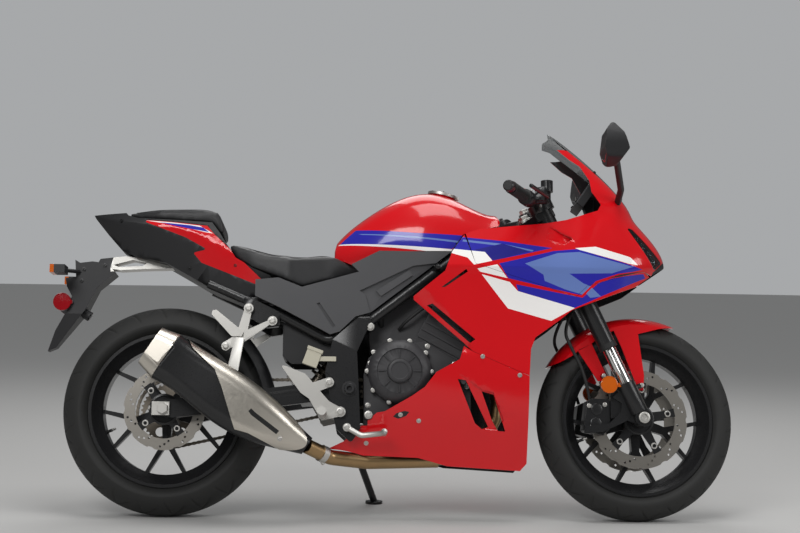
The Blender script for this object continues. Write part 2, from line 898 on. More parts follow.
    @staticmethod
    def piece(name: str, mesh: Mesh, body: str, slot: str) -> Object:
        """Put a mesh in the scene as a piece that rides on a body.

        Args:
            name: The piece's name.
            mesh: Its mesh, already in place.
            body: Its body.
            slot: Its material slot in the record.

        Returns:
            The new object.
        """
        piece = bpy.data.objects.new(name, mesh)
        bpy.context.scene.collection.objects.link(piece)
        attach(piece, body)
        LOG.info("%s: %d faces on %s", name, len(mesh.polygons), body)
        return piece


ORIGIN = (0, 0, 0)
UPWARD = (0, 0, 1)


def fastener(*rings: tuple[Profile, int]) -> Draft:
    """Fastener along z with a head of radius 1.

    Args:
        rings: Its turned profiles as radius and height, each with the number of flats round it.

    Returns:
        The drawing.
    """
    draft = Draft()
    for profile, flats in rings:
        draft.turned(ORIGIN, UPWARD, profile, "cast_alloy", flats)
    return draft


# Socket head screw on a washer, and flanged hexagon bolt.
SCREW = fastener((((1.4, -0.3), (1.4, 0.2), (1.0, 0.22), (1.0, 0.8), (0.86, 0.95), (0.5, 0.95), (0.45, 0.4),
                   (0, 0.4)), 12))
BOLT = fastener((((1.35, -0.3), (1.35, 0.18), (1.1, 0.3)), 12),
                (((1.0, 0.2), (1.0, 0.85), (0.82, 1.0), (0, 1.0)), 6))

RED_ENAMEL = Finish("red_enamel", "#CB0813", Grain.SPRAYED, 0.34, coat=0.9, pattern_mm=5.0, depth=0.0,
                    shade=0.03, rough_swing=0.02)
FINISHES = [
    # Sprayed two-coat enamel on moulded panels: deep even colour under a hard clear coat.
    RED_ENAMEL,
    replace(RED_ENAMEL, name="blue_enamel", colour="#27259E"),
    replace(RED_ENAMEL, name="deep_blue_enamel", colour="#23227C"),
    replace(RED_ENAMEL, name="pale_blue_enamel", colour="#6279B4"),
    replace(RED_ENAMEL, name="white_enamel", colour="#EEEBE8", shade=0.02),
    # Moulded ABS with a fine spark-eroded grain, drawn coarser than the real 0.3 mm so that it shows.
    Finish("black_abs", "#1B1B1D", Grain.MOULDED, 0.5, pattern_mm=1.2, depth=0.12, shade=0.1),
    Finish("grey_abs", "#454547", Grain.MOULDED, 0.42, pattern_mm=1.2, depth=0.1, shade=0.08),
    # Stoved black paint on steel and alloy: satin, with slight dust.
    Finish("stoved_black", "#1C1C1D", Grain.SPRAYED, 0.3, pattern_mm=3.0, depth=0.05, shade=0.12),
    # Sand-cast alloy under charcoal paint: pebbled skin.
    Finish("cast_charcoal", "#323133", Grain.CAST, 0.48, pattern_mm=2.4, depth=0.22, shade=0.12),
    # Brushed stainless steel: lines along the muffler.
    Finish("brushed_stainless", "#D3CDC2", Grain.BRUSHED, 0.36, metallic=1.0, pattern_mm=1.6, depth=0.08,
           stretch=(0.06, 1.0, 1.0), turn_deg=(0.0, 33.0, 0.0), rough_swing=0.14),
    # Header tube, straw-coloured by heat.
    Finish("tinted_header", "#A88C66", Grain.BRUSHED, 0.36, metallic=1.0, pattern_mm=5.0, depth=0.05,
           shade=0.2),
    # Die-cast aluminium, blasted: pale and even.
    Finish("cast_alloy", "#CFCDC8", Grain.CAST, 0.46, metallic=1.0, pattern_mm=1.6, depth=0.14),
    # Ground brake steel, with the turning rings of its making and wear.
    Finish("disc_steel", "#ABA69E", Grain.TURNED, 0.36, metallic=1.0, pattern_mm=1.1, depth=0.1,
           rough_swing=0.12),
    # Hard chrome on the fork's inner tubes: nearly a mirror.
    Finish("hard_chrome", "#D2D2D0", Grain.BRUSHED, 0.12, metallic=1.0, pattern_mm=1.5, depth=0.02,
           stretch=(1.0, 1.0, 0.05)),
    # Oiled chain steel: brownish, with a dull shine.
    Finish("chain_steel", "#8B8378", Grain.CAST, 0.38, metallic=1.0, pattern_mm=3.0, depth=0.1, shade=0.2),
    # Vulcanised rubber: dark, dull, a little dusty.
    Finish("tread_rubber", "#232322", Grain.MOULDED, 0.72, pattern_mm=2.0, depth=0.15, shade=0.16),
    Finish("soft_rubber", "#1D1D1D", Grain.MOULDED, 0.62, pattern_mm=1.5, depth=0.15, shade=0.1),
    # Coated seat fabric with an embossed hide grain of about 2 mm, drawn a little coarser so that it shows.
    Finish("grained_vinyl", "#2A2A2B", Grain.HIDE, 0.4, pattern_mm=2.6, depth=0.25, shade=0.1),
    # Clear acrylic of the screen, with a low index because the sheet is drawn as a closed solid.
    Finish("clear_acrylic", "#FBFDFD", Grain.CLEAR, 0.03, pattern_mm=20.0, depth=0.0, shade=0.0,
           rough_swing=0.01, transmission=1.0, ior=1.22),
    # Smoked polycarbonate lenses: grey, clear and glossy.
    Finish("smoked_lens", "#8A8F93", Grain.CLEAR, 0.05, pattern_mm=20.0, depth=0.0, shade=0.0,
           rough_swing=0.02, transmission=1.0, ior=1.58),
    # Coloured acrylic with moulded prisms of about 3 mm.
    Finish("red_lens", "#8E0A14", Grain.CLEAR, 0.12, pattern_mm=3.0, depth=0.2, shade=0.05, ior=1.4),
    Finish("amber_lens", "#D2620F", Grain.CLEAR, 0.12, pattern_mm=3.0, depth=0.2, shade=0.05,
           transmission=0.2, ior=1.49),
    # Milky nylon of the fluid reservoir: pale, light passes a little.
    Finish("milky_nylon", "#BDB8A6", Grain.MOULDED, 0.4, pattern_mm=2.0, depth=0.05, transmission=0.1),
]

# Painted bands of the fairing, corners as x and z in bike millimetres, the last on top.
FAIRING_STRIPES = (
    Stripe("blue_enamel", ((860, 831), (996, 820), (1145, 801), (964, 755), (940, 784), (840, 792))),
    Stripe("pale_blue_enamel", ((876, 822), (996, 811), (1086, 793), (1082, 789), (990, 804), (874, 816))),
    Stripe("deep_blue_enamel", ((905, 789), (993, 812), (1073, 790), (964, 755), (940, 784))),
    Stripe("white_enamel", ((830, 793), (940, 784), (964, 754), (909, 741), (888, 765), (830, 781))),
    Stripe("blue_enamel", ((982, 749), (1145, 792), (1217, 800), (1415, 744), (1271, 703), (1229, 661),
                           (1014, 699))),
    Stripe("pale_blue_enamel", ((1059, 751), (1158, 786), (1223, 791), (1383, 749), (1320, 728), (1192, 724),
                                (1235, 696), (1258, 688), (1232, 663), (1180, 677), (1118, 701),
                                (1114, 719))),
    Stripe("white_enamel", ((1211, 803), (1273, 809), (1377, 778), (1400, 756), (1372, 758), (1223, 798))),
    Stripe("white_enamel", ((917, 732), (976, 746), (1013, 699), (930, 718))),
    Stripe("white_enamel", ((930, 716), (1014, 695), (1038, 669), (1209, 623), (1138, 583), (1009, 617))),
    Stripe("blue_enamel", ((1033, 689), (1232, 654), (1278, 697), (1320, 713), (1419, 732), (1428, 721),
                           (1284, 657), (1209, 623), (1039, 669))),
    Stripe("pale_blue_enamel", ((1243, 666), (1258, 686), (1287, 659), (1255, 654))),
    Stripe("red_enamel", ((885, 733), (962, 752), (1060, 775.5), (1195, 810), (1195, 815), (1060, 780.5),
                          (962, 757), (885, 738))),
    Stripe("red_enamel", ((924, 717.5), (1230, 654), (1276, 700), (1341, 721), (1437, 738), (1437, 744),
                          (1338, 727), (1272, 704), (1228, 660.5), (924, 723.5))),
    Stripe("black_abs", ((1306, 712), (1344, 725), (1420, 739), (1380, 728), (1340, 718))),
    Stripe("black_abs", ((674, 296), (684, 306), (708, 313), (722, 310), (712, 298), (690, 290))),
    Stripe("black_abs", ((1446, 722), (1452, 740), (1490, 776), (1560, 810), (1560, 700))),
)
FAIRING_INLETS = (
    # Inlet of the upper cowl.
    Inlet(Stripe("", ((1124, 836), (1139, 869), (1168, 852), (1204, 832), (1182, 815), (1130, 828))),
          (1124, 845), (1204, 826), 13.0),
    # Hollow round the slots of the lower cowl.
    Inlet(Stripe("", ((866, 424), (938, 375), (968, 368), (1000, 290), (985, 262), (945, 262))),
          (866, 424), (985, 290), 9.0),
    # Folded rear edge of the side panel.
    Inlet(Stripe("", ((700, 660), (750, 681), (908, 531), (880, 490))), (828, 606), (804, 581), 10.0, True),
)
TANK_STRIPES = (
    Stripe("blue_enamel", ((509, 820), (556, 862), (739, 845), (890, 838), (890, 830), (843, 796))),
    Stripe("pale_blue_enamel", ((564, 849), (739, 834), (890, 819), (890, 813), (739, 829), (577, 845))),
    Stripe("white_enamel", ((504, 817), (509, 820), (675, 809), (850, 795), (850, 780), (675, 801))),
)


@dataclass(frozen=True)
class Assembly:
    """A sub-assembly, with the shop where its pieces are made."""

    shop: BodyShop

    def dress(self, solids: tuple[Plain, ...]) -> None:
        """Dress solids that keep their form."""
        for node, finish, bevel in solids:
            self.shop.dressed(node, finish, bevel)


@dataclass(frozen=True)
class Hoses(Assembly):
    """Front brake hoses, each one curve along its route from the lower clamp to the caliper."""

    route: tuple[Point, ...] = ((1236, 58, 668), (1172, 84, 572), (1204, 90, 500), (1240, 88, 430),
                                (1256.8, 76, 357.6))
    diameter_mm: float = 10.0

    def build(self) -> None:
        """Lay both hoses."""
        for side in Side:
            name = f"brake_hose_{side.name.lower()}"
            points = [self.shop.bike.steered @ side.place(spot) for spot in self.route]
            curve = bpy.data.curves.new(name, "CURVE")
            curve.dimensions = "3D"
            curve.bevel_depth = self.diameter_mm / 2 / MM_PER_M
            curve.bevel_resolution = 3
            curve.use_fill_caps = True
            curve.materials.append(self.shop.shelf.get("soft_rubber"))
            spline = curve.splines.new("NURBS")
            spline.points.add(len(points) - 1)
            for spot, point in zip(spline.points, points):
                spot.co = (*point, 1.0)
            spline.order_u = 3
            spline.use_endpoint_u = True
            spline.resolution_u = 8
            hose = bpy.data.objects.new(name, curve)
            bpy.context.scene.collection.objects.link(hose)
            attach(hose, "steering")
            if side is Side.RIGHT:
                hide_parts("brake_hoses")


@dataclass(frozen=True)
class Fairing(Assembly):
    """Painted cowls and panels with dark insides, screen, lamps and fasteners."""

    shells: tuple[str, ...] = ("upper_cowl", "side_panel_left", "side_panel_right", "lower_cowl_left",
                               "lower_cowl_right")
    # Panel screws and lamps as x and z, screen screws as y and z.
    screws: Profile = ((935, 474), (1045, 421), (750, 285), (597, 219), (696, 302))
    screw_size: float = 5.0
    screen_screws: Profile = ((-44, 976), (44, 976), (-58, 1056), (58, 1056))
    screen_screw_size: float = 4.5
    lamp_rows: Profile = ((1404, 846), (1424, 822), (1444, 797), (1458, 776))
    lamp_depth: float = 26.0
    reflector: Profile = ((4, 0), (11, 4), (13, 18), (12, 18), (8, 8), (0, 8))
    projector: Profile = ((0, 8), (8, 9), (6, 15), (0, 17))
    bowl_back: float = 34.0
    bowl_drop: float = 4.0
    bowl_narrow: float = 0.84
    # Starts of the search lines beside and ahead of the bike.
    beside: float = 400.0
    ahead: float = 1600.0

    def build(self) -> None:
        """Dress the panels and fit what sits on them."""
        for node in self.shells:
            self.shop.dressed(node, "red_enamel", stripes=FAIRING_STRIPES, shell=self.shells,
                              inside="black_abs", inlets=FAIRING_INLETS)
        self.shop.dressed("windscreen", "clear_acrylic")
        self.shop.dressed("inner_cowl", "black_abs")
        self.shop.dressed("headlights", "smoked_lens")
        spots = []
        for side in Side:
            starts = [(x, side.value * self.beside, z) for x, z in self.screws]
            spots += self.shop.spots_on(self.shells, starts, -side.out(), self.screw_size)
        self.shop.repeat("fairing_screws", SCREW, spots)
        starts = [(self.ahead, y, z) for y, z in self.screen_screws]
        spots = self.shop.spots_on(("windscreen",), starts, (-1, 0, 0), self.screen_screw_size)
        self.shop.repeat("screen_screws", SCREW, spots, "stoved_black", "chassis", "black_paint")
        self.lamps()

    def lamps(self) -> None:
        """Fit the dark bowls and the projectors behind the lenses."""
        draft = Draft()
        for side in Side:
            starts = [(x, side.value * self.beside, z) for x, z in self.lamp_rows]
            for spot in self.shop.spots_on(("headlights",), starts, -side.out(), 1.0):
                foot = spot.place - spot.axis * self.lamp_depth
                draft.turned(foot, spot.axis, self.reflector, "hard_chrome", 20)
                draft.turned(foot, spot.axis, self.projector, "clear_acrylic", 16)
        lens = self.shop.frame["nodes"]["headlights"].data
        back = self.shop.bike.matrix.inverted()
        start = len(draft.verts)
        draft.verts.extend(self.sunk(back @ vert.co) for vert in lens.vertices)
        draft.faces += [tuple(start + i for i in face.vertices) for face in lens.polygons]
        draft.finish_of += ["stoved_black"] * len(lens.polygons)
        self.shop.fit(draft, "lamp_bowls", "chassis", "black_paint")

    def sunk(self, point: Vector) -> Vector:
        """Draw a point of the lens back into the nose."""
        return Vector((point.x - self.bowl_back, point.y * self.bowl_narrow, point.z - self.bowl_drop))


@dataclass(frozen=True)
class Tank(Assembly):
    """Fuel tank with its painted band, filler ring and hinged cap."""

    cap_centre: Point = (822, 0, 982)
    slope_deg: float = 12.0
    screw_count: int = 6
    screw_ring: float = 38.0
    screw_lift: float = 8.4
    screw_size: float = 3.0
    lock_at: Point = (-14, 0, 11)
    lock: Profile = ((8, 0), (8, 0.8), (6.6, 0.9), (0, 0.9))
    key_slot_at: Point = (-14, 0, 11.6)
    key_slot: Point = (12, 2.4, 1.2)

    def build(self) -> None:
        """Dress the tank and the cap."""
        self.shop.dressed("fuel_tank", "red_enamel", stripes=TANK_STRIPES)
        self.shop.dressed("fuel_cap", "cast_alloy", 0.8)
        pose = Matrix.Translation(self.cap_centre) @ Matrix.Rotation(radians(self.slope_deg), 4, "Y")
        out = pose.to_3x3() @ Vector(UPWARD)
        spots = []
        for step in range(self.screw_count):
            angle = radians(360 / self.screw_count * (step + 0.5))
            x, y = self.screw_ring * cos(angle), self.screw_ring * sin(angle)
            spots.append(Spot(pose @ Vector((x, y, self.screw_lift)), out, self.screw_size))
        self.shop.repeat("cap_screws", SCREW, spots, "stoved_black", "fuel_cap", "black_paint")
        draft = Draft()
        draft.block(pose @ Matrix.Translation(self.key_slot_at), self.key_slot, "stoved_black")
        draft.turned(pose @ Vector(self.lock_at), out, self.lock, "hard_chrome", 20)
        self.shop.fit(draft, "cap_lock", "fuel_cap", "alloy")


@dataclass(frozen=True)
class Seat(Assembly):
    """A foam cushion in a grained cover: blown up from its solid, with a welted seam."""

    node: str
    floor_z: float
    seam: Profile
    rise_mm: float = 9.0
    strap_x: float = 0.0
    voxel_mm: float = 5.0
    fill: float = 0.7
    pressure: float = 4.0
    frames: int = 20
    base_slope: float = 0.15
    edge_rounds: int = 8
    crease_rounds: int = 2
    seam_radius: float = 1.6
    seam_lift: float = 0.2
    strap_reach: int = 78
    strap_step: int = 6
    # Rows of the strap: distance from its middle, and height above the cushion.
    strap_rows: Profile = ((-13, 0.2), (-12, 2.2), (12, 2.2), (13, 0.2))
    above: float = 1200.0

    def build(self) -> None:
        """Make the cushion."""
        mesh = self.shop.frame["nodes"][self.node].data.copy()
        mesh.name = f"{self.node}_cushion"
        mesh.materials.clear()
        mesh.materials.append(self.shop.shelf.get("grained_vinyl"))
        shape = bmesh.new()
        shape.from_mesh(mesh)
        bmesh.ops.remove_doubles(shape, verts=shape.verts, dist=self.shop.MERGE_M)
        shape.to_mesh(mesh)
        shape.free()
        cushion = self.shop.piece(f"{self.node}_cushion", mesh, "chassis", "seat_cover")
        even = cushion.modifiers.new("even", "REMESH")
        even.mode = "VOXEL"
        even.voxel_size = self.voxel_mm / MM_PER_M
        self.apply(cushion)
        self.round_off(cushion.data, self.edge_rounds)
        self.blow_up(cushion)
        fine = cushion.modifiers.new("fine", "SUBSURF")
        fine.levels = 1
        fine.render_levels = 1
        self.apply(cushion)
        cushion.data.polygons.foreach_set("use_smooth", [True] * len(cushion.data.polygons))
        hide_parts(self.node)
        self.sew(cushion)

    @staticmethod
    def apply(piece: Object) -> None:
        """Apply a piece's modifiers.

        Args:
            piece: The piece.
        """
        graph = bpy.context.evaluated_depsgraph_get()
        mesh = bpy.data.meshes.new_from_object(piece.evaluated_get(graph), depsgraph=graph)
        piece.modifiers.clear()
        piece.data = mesh

    @staticmethod
    def round_off(mesh: Mesh, times: int) -> None:
        """Round a mesh's edges as foam under a cover does.

        Args:
            mesh: The mesh.
            times: How often it is evened out.
        """
        shape = bmesh.new()
        shape.from_mesh(mesh)
        for _ in range(times):
            bmesh.ops.smooth_vert(shape, verts=shape.verts, factor=0.5, use_axis_x=True, use_axis_y=True,
                                  use_axis_z=True)
        shape.to_mesh(mesh)
        shape.free()

    def blow_up(self, cushion: Object) -> None:
        """Fill the cushion with pressure, held along its base.

        Args:
            cushion: The cushion.
        """
        back = self.shop.bike.matrix.inverted()
        rest = np.array([vert.co for vert in cushion.data.vertices])
        held = [vert.index for vert in cushion.data.vertices
                if (back.to_3x3() @ vert.normal).normalized().z < self.base_slope
                or (back @ vert.co).z < self.floor_z]
        cushion.vertex_groups.new(name="held").add(held, 1.0, "REPLACE")
        cloth = cushion.modifiers.new("cover", "CLOTH")
        cloth.settings.quality = 5
        cloth.settings.use_pressure = True
        cloth.settings.uniform_pressure_force = self.pressure
        cloth.settings.vertex_group_mass = "held"
        cloth.settings.effector_weights.gravity = 0.0
        cloth.point_cache.frame_start = 1
        cloth.point_cache.frame_end = self.frames
        for number in range(1, self.frames + 1):
            bpy.context.scene.frame_set(number)
        self.apply(cushion)
        moved = np.array([vert.co for vert in cushion.data.vertices]) - rest
        length = np.linalg.norm(moved, axis=1, keepdims=True)
        capped = rest + moved * np.minimum(1.0, self.rise_mm / MM_PER_M / np.maximum(length, 1e-9))
        cushion.data.vertices.foreach_set("co", capped.astype(np.float32).ravel())
        cushion.vertex_groups.clear()
        bpy.context.scene.frame_set(1)
        self.round_off(cushion.data, self.crease_rounds)

    def sew(self, cushion: Object) -> None:
        """Sew a welted seam on the cushion, and a strap across it where it has one.

        Args:
            cushion: The finished cushion.
        """
        back = self.shop.bike.matrix.inverted()
        tree = BVHTree.FromPolygons([back @ vert.co for vert in cushion.data.vertices],
                                    [tuple(face.vertices) for face in cushion.data.polygons])
        down = -Vector(UPWARD)
        draft = Draft()
        for side in Side:
            found = [tree.ray_cast(Vector((x, y * side.value, self.above)), down)[0] for x, y in self.seam]
            line = [spot + Vector((0, 0, self.seam_lift)) for spot in found if spot is not None]
            if len(line) > 2:
                draft.tube(line, self.seam_radius, "grained_vinyl", 8, 5)
        if self.strap_x:
            rows = []
            for offset, lift in self.strap_rows:
                found = [tree.ray_cast(Vector((self.strap_x + offset, y, self.above)), down)[0]
                         for y in range(-self.strap_reach, self.strap_reach + 1, self.strap_step)]
                rows.append([spot + Vector((0, 0, lift)) for spot in found if spot is not None])
            if len({len(row) for row in rows}) == 1:
                draft.skin(rows, "soft_rubber")
        self.shop.fit(draft, f"{self.node}_welt", "chassis", "seat_cover")


@dataclass(frozen=True)
class Tail(Assembly):
    """Tail cowl and its painted panels, lamp, stay with hanger, and rear indicators."""

    # Painted areas, corners as x and z.
    white_strip: Profile = ((-78, 879), (2, 872), (89, 862), (130, 838), (105, 842), (17, 863))
    blue_strip: Profile = ((-30, 872), (60, 863), (100, 856), (118, 842), (50, 854), (10, 862))
    stay: Profile = ((-183, 730), (-183, 752), (-176, 780), (-100, 790), (20, 760), (20, 736))
    indicator_lens: Profile = ((-360, 700), (-332, 700), (-332, 740), (-360, 740))
    reflector_area: Profile = ((-352, 604), (-292, 604), (-292, 664), (-352, 664))
    reflector_reach: Flat = (47.0, 54.0)
    reflector_at: Point = (-322, 52.5, 634)
    reflector: Profile = ((26.6, -4), (26.6, 1.4), (24.6, 1.8), (24.4, 0.6), (0, 1.4))
    lamp_at: Point = (-262, 0, 606)
    lamp_axis: Point = (16, 0, -10)
    lamp_hood: Profile = ((15.4, 8), (15.4, 20), (13, 22), (0, 22))
    lamp_lens: Profile = ((11, 21), (11, 23), (0, 24))
    hanger_screws: Profile = ((-200, 748), (-268, 700), (-262, 735))
    cowl_screws: Profile = ((-150, 880), (200, 742), (60, 735))
    screw_size: float = 4.5
    beside_hanger: float = -200.0
    beside_cowl: float = -300.0

    def build(self) -> None:
        """Dress the tail and fit its small parts."""
        self.shop.dressed("tail_cowl", "black_abs", even=True)
        self.shop.dressed("tail_panels", "red_enamel", stripes=(
            Stripe("white_enamel", self.white_strip),
            Stripe("blue_enamel", self.blue_strip),
        ))
        self.shop.dressed("tail_light", "red_lens")
        self.shop.dressed("plate_hanger", "black_abs", 1.0, stripes=(Stripe("cast_alloy", self.stay),))
        self.shop.dressed("rear_indicators", "black_abs", 1.0, stripes=(
            Stripe("amber_lens", self.indicator_lens),
            Stripe("red_lens", self.reflector_area, self.reflector_reach),
        ))
        draft = Draft()
        for side in Side:
            draft.turned(side.place(self.reflector_at), side.out(), self.reflector, "red_lens", 36)
        self.shop.fit(draft, "reflector_lenses", "chassis", "red_lens")
        draft = Draft()
        draft.turned(self.lamp_at, self.lamp_axis, self.lamp_hood, "black_abs", 24)
        draft.turned(self.lamp_at, self.lamp_axis, self.lamp_lens, "clear_acrylic", 24)
        self.shop.fit(draft, "plate_lamp", "chassis", "black_plastic")
        spots = []
        for node, beside, screws in [("plate_hanger", self.beside_hanger, self.hanger_screws),
                                     ("tail_cowl", self.beside_cowl, self.cowl_screws)]:
            starts = [(x, beside, z) for x, z in screws]
            spots += self.shop.spots_on((node,), starts, (0, 1, 0), self.screw_size)
        mirror = Side.RIGHT.place
        spots += [Spot(mirror(spot.place), mirror(spot.axis), spot.size) for spot in spots]
        self.shop.repeat("tail_screws", SCREW, spots, "stoved_black", "chassis", "black_paint")


@dataclass(frozen=True)
class Groove:
    """One groove of the tread, its ends as shares of the half width, its slope and offset in pitches."""

    start: float
    end: float
    slope: float
    offset: float
    width_mm: float
    depth_mm: float = 3.6
    runout: float = 0.05
    wall_mm: float = 2.0

    def depth(self, share: float, phase: np.ndarray, pitch_mm: float) -> np.ndarray:
        """Depth of the groove round one ring of the tread.

        Args:
            share: The ring's offset as a share of the half width.
            phase: Places round the ring, in pitches.
            pitch_mm: Length of one pitch.

        Returns:
            The depth at each place.
        """
        if not self.start < share < self.end:
            return np.zeros(len(phase))
        away = np.abs((phase - self.offset - self.slope * share + 0.5) % 1.0 - 0.5) * pitch_mm
        ease = min(1.0, (share - self.start) / self.runout, (self.end - share) / self.runout)
        edge = np.clip((self.width_mm / 2 + self.wall_mm / 2 - away) / self.wall_mm, 0, 1)
        return edge * self.depth_mm * ease


@dataclass(frozen=True)
class Wheel(Assembly):
    """One wheel: tyre with its tread, cast rim, and drilled discs on their carriers."""

    body: str
    prefix: str
    centre: Flat
    radius: float
    half_width: float
    crown: float
    rim_half: float
    pitches: int
    disc_node: str
    disc_radius: float
    band: float
    petals: int
    disc_faces: Profile
    lug_ring: float
    lugs: tuple[float, ...]
    steps: int = 540
    grooves: tuple[Groove, ...] = (Groove(0.06, 0.72, 1.1, 0.0, 6.5), Groove(0.42, 0.9, -0.5, 0.52, 5.0))
    tread_height: float = 45.0
    tread_share: float = 0.97
    tread_rows: int = 53
    # Tyre wall: its shoulder, the bead and the rim's flange, the wall's foot, bulge and two raised rings.
    edge_inset: float = 1.0
    bead_gap: float = 0.4
    bead_width: float = 10.0
    flange_out: float = 0.2
    bead_radius: float = 217.0
    flange_radius: float = 229.0
    wall_radius: float = 231.0
    wall_bulge: float = 7.0
    wall_rows: int = 13
    ring_lift: float = 0.7
    rings: Profile = ((0.3, 0.36), (0.68, 0.74))
    valve_deg: float = 200.0
    valve_ring: float = 192.0
    valve_across: float = -10.0
    valve_lean: float = -0.5
    valve_stem: Profile = ((7, -4), (7, 4), (4.5, 8), (4.5, 22), (3, 23))
    valve_cap: Profile = ((3.4, 22), (3.4, 34), (2.6, 35), (0, 35))
    # Petal disc: round notches in its edge, and holes as shares of the band and of a petal.
    edge_steps: int = 720
    notch_out: float = 16.0
    notch_radius: float = 20.0
    holes: Profile = ((0.3, 0.36), (0.52, 0.56), (0.76, 0.76))
    hole_radius: float = 3.5
    carrier: Profile = ((46, 0), (46, 7.5), (40, 8.5), (38, 6.0), (24, 6.0), (22, 9), (13, 9), (13, -2))
    carrier_sink: float = 0.2
    arm_root: Flat = (34, 15)
    arm_waist: Flat = (-22, 10)
    arm_tip: Flat = (2, 13)
    arm_behind: float = 3.5
    arm_front: float = 0.6
    lug: Profile = ((9.5, -3), (9.5, 2.6), (8.4, 3.4), (0, 3.4))
    lug_bolt_lift: float = 3.2
    lug_bolt_size: float = 4.0

    def build(self) -> None:
        """Make the wheel's pieces."""
        self.tyre()
        self.shop.dressed(f"{self.prefix}_rim", "stoved_black", 1.2)
        self.discs()
        draft = Draft()
        out = spoke(self.valve_deg)
        foot = self.hub() + out * self.valve_ring + Vector((0, self.valve_across, 0))
        inward = -out + Vector((0, self.valve_lean, 0))
        draft.turned(foot, inward, self.valve_stem, "soft_rubber", 16)
        draft.turned(foot, inward, self.valve_cap, "cast_alloy", 12)
        self.shop.fit(draft, f"{self.prefix}_valve", self.body, "rubber")

    def hub(self) -> Vector:
        """Middle of the wheel in bike millimetres."""
        return Vector((self.centre[0], 0, self.centre[1]))

    def profile(self) -> list[Flat]:
        """Outer section of the tyre from bead to bead.

        Returns:
            Pairs of radius and offset across.
        """
        edge = self.half_width - self.edge_inset
        shoulder = self.radius - self.crown + sqrt(self.crown ** 2 - edge ** 2)
        bead = self.rim_half - self.bead_gap
        left = [(self.bead_radius, bead - self.bead_width), (self.bead_radius, bead),
                (self.flange_radius, bead + self.flange_out)]
        for t in np.linspace(0, 1, self.wall_rows)[:-1]:
            bulge = sin(pi * t) * self.wall_bulge
            lift = self.ring_lift if any(low < t < high for low, high in self.rings) else 0.0
            left.append((self.wall_radius + (shoulder - self.wall_radius) * t,
                         bead + (edge - bead) * t + bulge + lift))
        tread = [(self.radius - self.crown + sqrt(self.crown ** 2 - y ** 2), y)
                 for y in np.linspace(-edge, edge, self.tread_rows)]
        right = [(r, -y) for r, y in left]
        return right + tread + left[::-1]

    def tyre(self) -> None:
        """Make the tyre with its curved grooves."""
        turns = np.arange(self.steps) / self.steps
        angles = 2 * pi * turns
        pitch_mm = 2 * pi * self.radius / self.pitches
        rows = []
        for radius, across in self.profile():
            share = abs(across) / self.half_width
            depth = np.zeros(self.steps)
            if radius > self.radius - self.tread_height and share < self.tread_share:
                phase = turns * self.pitches + (0.5 if across < 0 else 0.0)
                for groove in self.grooves:
                    depth = np.maximum(depth, groove.depth(share, phase, pitch_mm))
            rows.append([Vector((self.centre[0] + r * c, across, self.centre[1] + r * s))
                         for r, c, s in zip(radius - depth, np.cos(angles), np.sin(angles))])
        draft = Draft()
        draft.skin(rows + [rows[0]], "tread_rubber", around=True)
        self.shop.fit(draft, f"{self.prefix}_tyre_piece", self.body, "tyre", smooth_deg=50,
                      replaces=(f"{self.prefix}_tyre",))

    def disc_loops(self) -> list[list[Flat]]:
        """Outline and holes of a disc.

        Returns:
            Loops of points as x and z.
        """
        x, z = self.centre
        notch = self.disc_radius + self.notch_out
        outline = []
        for step in range(self.edge_steps):
            angle = 2 * pi * step / self.edge_steps
            away = (angle * self.petals / (2 * pi) + 0.5) % 1.0 - 0.5
            off = away * 2 * pi / self.petals
            inside = self.notch_radius ** 2 - (notch * sin(off)) ** 2
            reach = self.disc_radius
            if inside > 0:
                reach = min(reach, notch * cos(off) - sqrt(inside))
            outline.append((x + reach * cos(angle), z + reach * sin(angle)))
        loops = [outline, self.circle(0, 0, self.disc_radius - self.band, 120)]
        for number in range(self.petals):
            for share, turn in self.holes:
                angle = 2 * pi * (number + turn) / self.petals
                reach = self.disc_radius - self.band * share
                ahead, up = reach * cos(angle), reach * sin(angle)
                loops.append(self.circle(ahead, up, self.hole_radius, 14))
        return loops

    def discs(self) -> None:
        """Make the drilled discs with carriers and lugs."""
        draft = Draft()
        inner = self.disc_radius - self.band
        hub = self.hub()
        loops = self.disc_loops()
        middle = self.shop.bike.matrix_for(self.body) @ hub
        steel = self.shop.shelf.centred("disc_steel", middle, f"{self.disc_node}_steel")
        arm = (self.arm_root, (inner + self.arm_waist[0], self.arm_waist[1]),
               (inner + self.arm_tip[0], self.arm_tip[1]))
        outline = [(a, -b) for a, b in arm] + [(a, b) for a, b in reversed(arm)]
        bolts = []
        for low, high in self.disc_faces:
            out = 1 if high > 0 else -1
            face = max(low, high, key=abs)
            back = low if out > 0 else high
            across = Vector((0, out, 0))
            draft.sheet(loops, low, high, steel)
            draft.turned(hub + Vector((0, back, 0)) - across * self.carrier_sink, across, self.carrier,
                         "stoved_black", 48)
            for degrees in self.lugs:
                heading = spoke(degrees)
                side = spoke(degrees + 90)
                rows = [[hub + heading * a + side * b + Vector((0, y, 0)) for a, b in outline]
                        for y in (face - out * self.arm_behind, face + out * self.arm_front)]
                draft.skin(rows, "stoved_black", around=True, ends=True)
                lug = hub + heading * self.lug_ring + Vector((0, face, 0))
                draft.turned(lug, across, self.lug, "cast_alloy", 20)
                bolts.append(Spot(lug + across * self.lug_bolt_lift, across, self.lug_bolt_size))
        self.shop.fit(draft, f"{self.disc_node}_piece", self.body, "steel", smooth_deg=30,
                      replaces=(self.disc_node,))
        self.shop.repeat(f"{self.disc_node}_bolts", SCREW, bolts, "stoved_black", self.body,
                         "black_paint")

    def circle(self, ahead: float, up: float, radius: float, steps: int) -> list[Flat]:
        """Round loop on the wheel's plane, its centre given from the axle."""
        return [(self.centre[0] + ahead + radius * cos(2 * pi * i / steps),
                 self.centre[1] + up + radius * sin(2 * pi * i / steps)) for i in range(steps)]


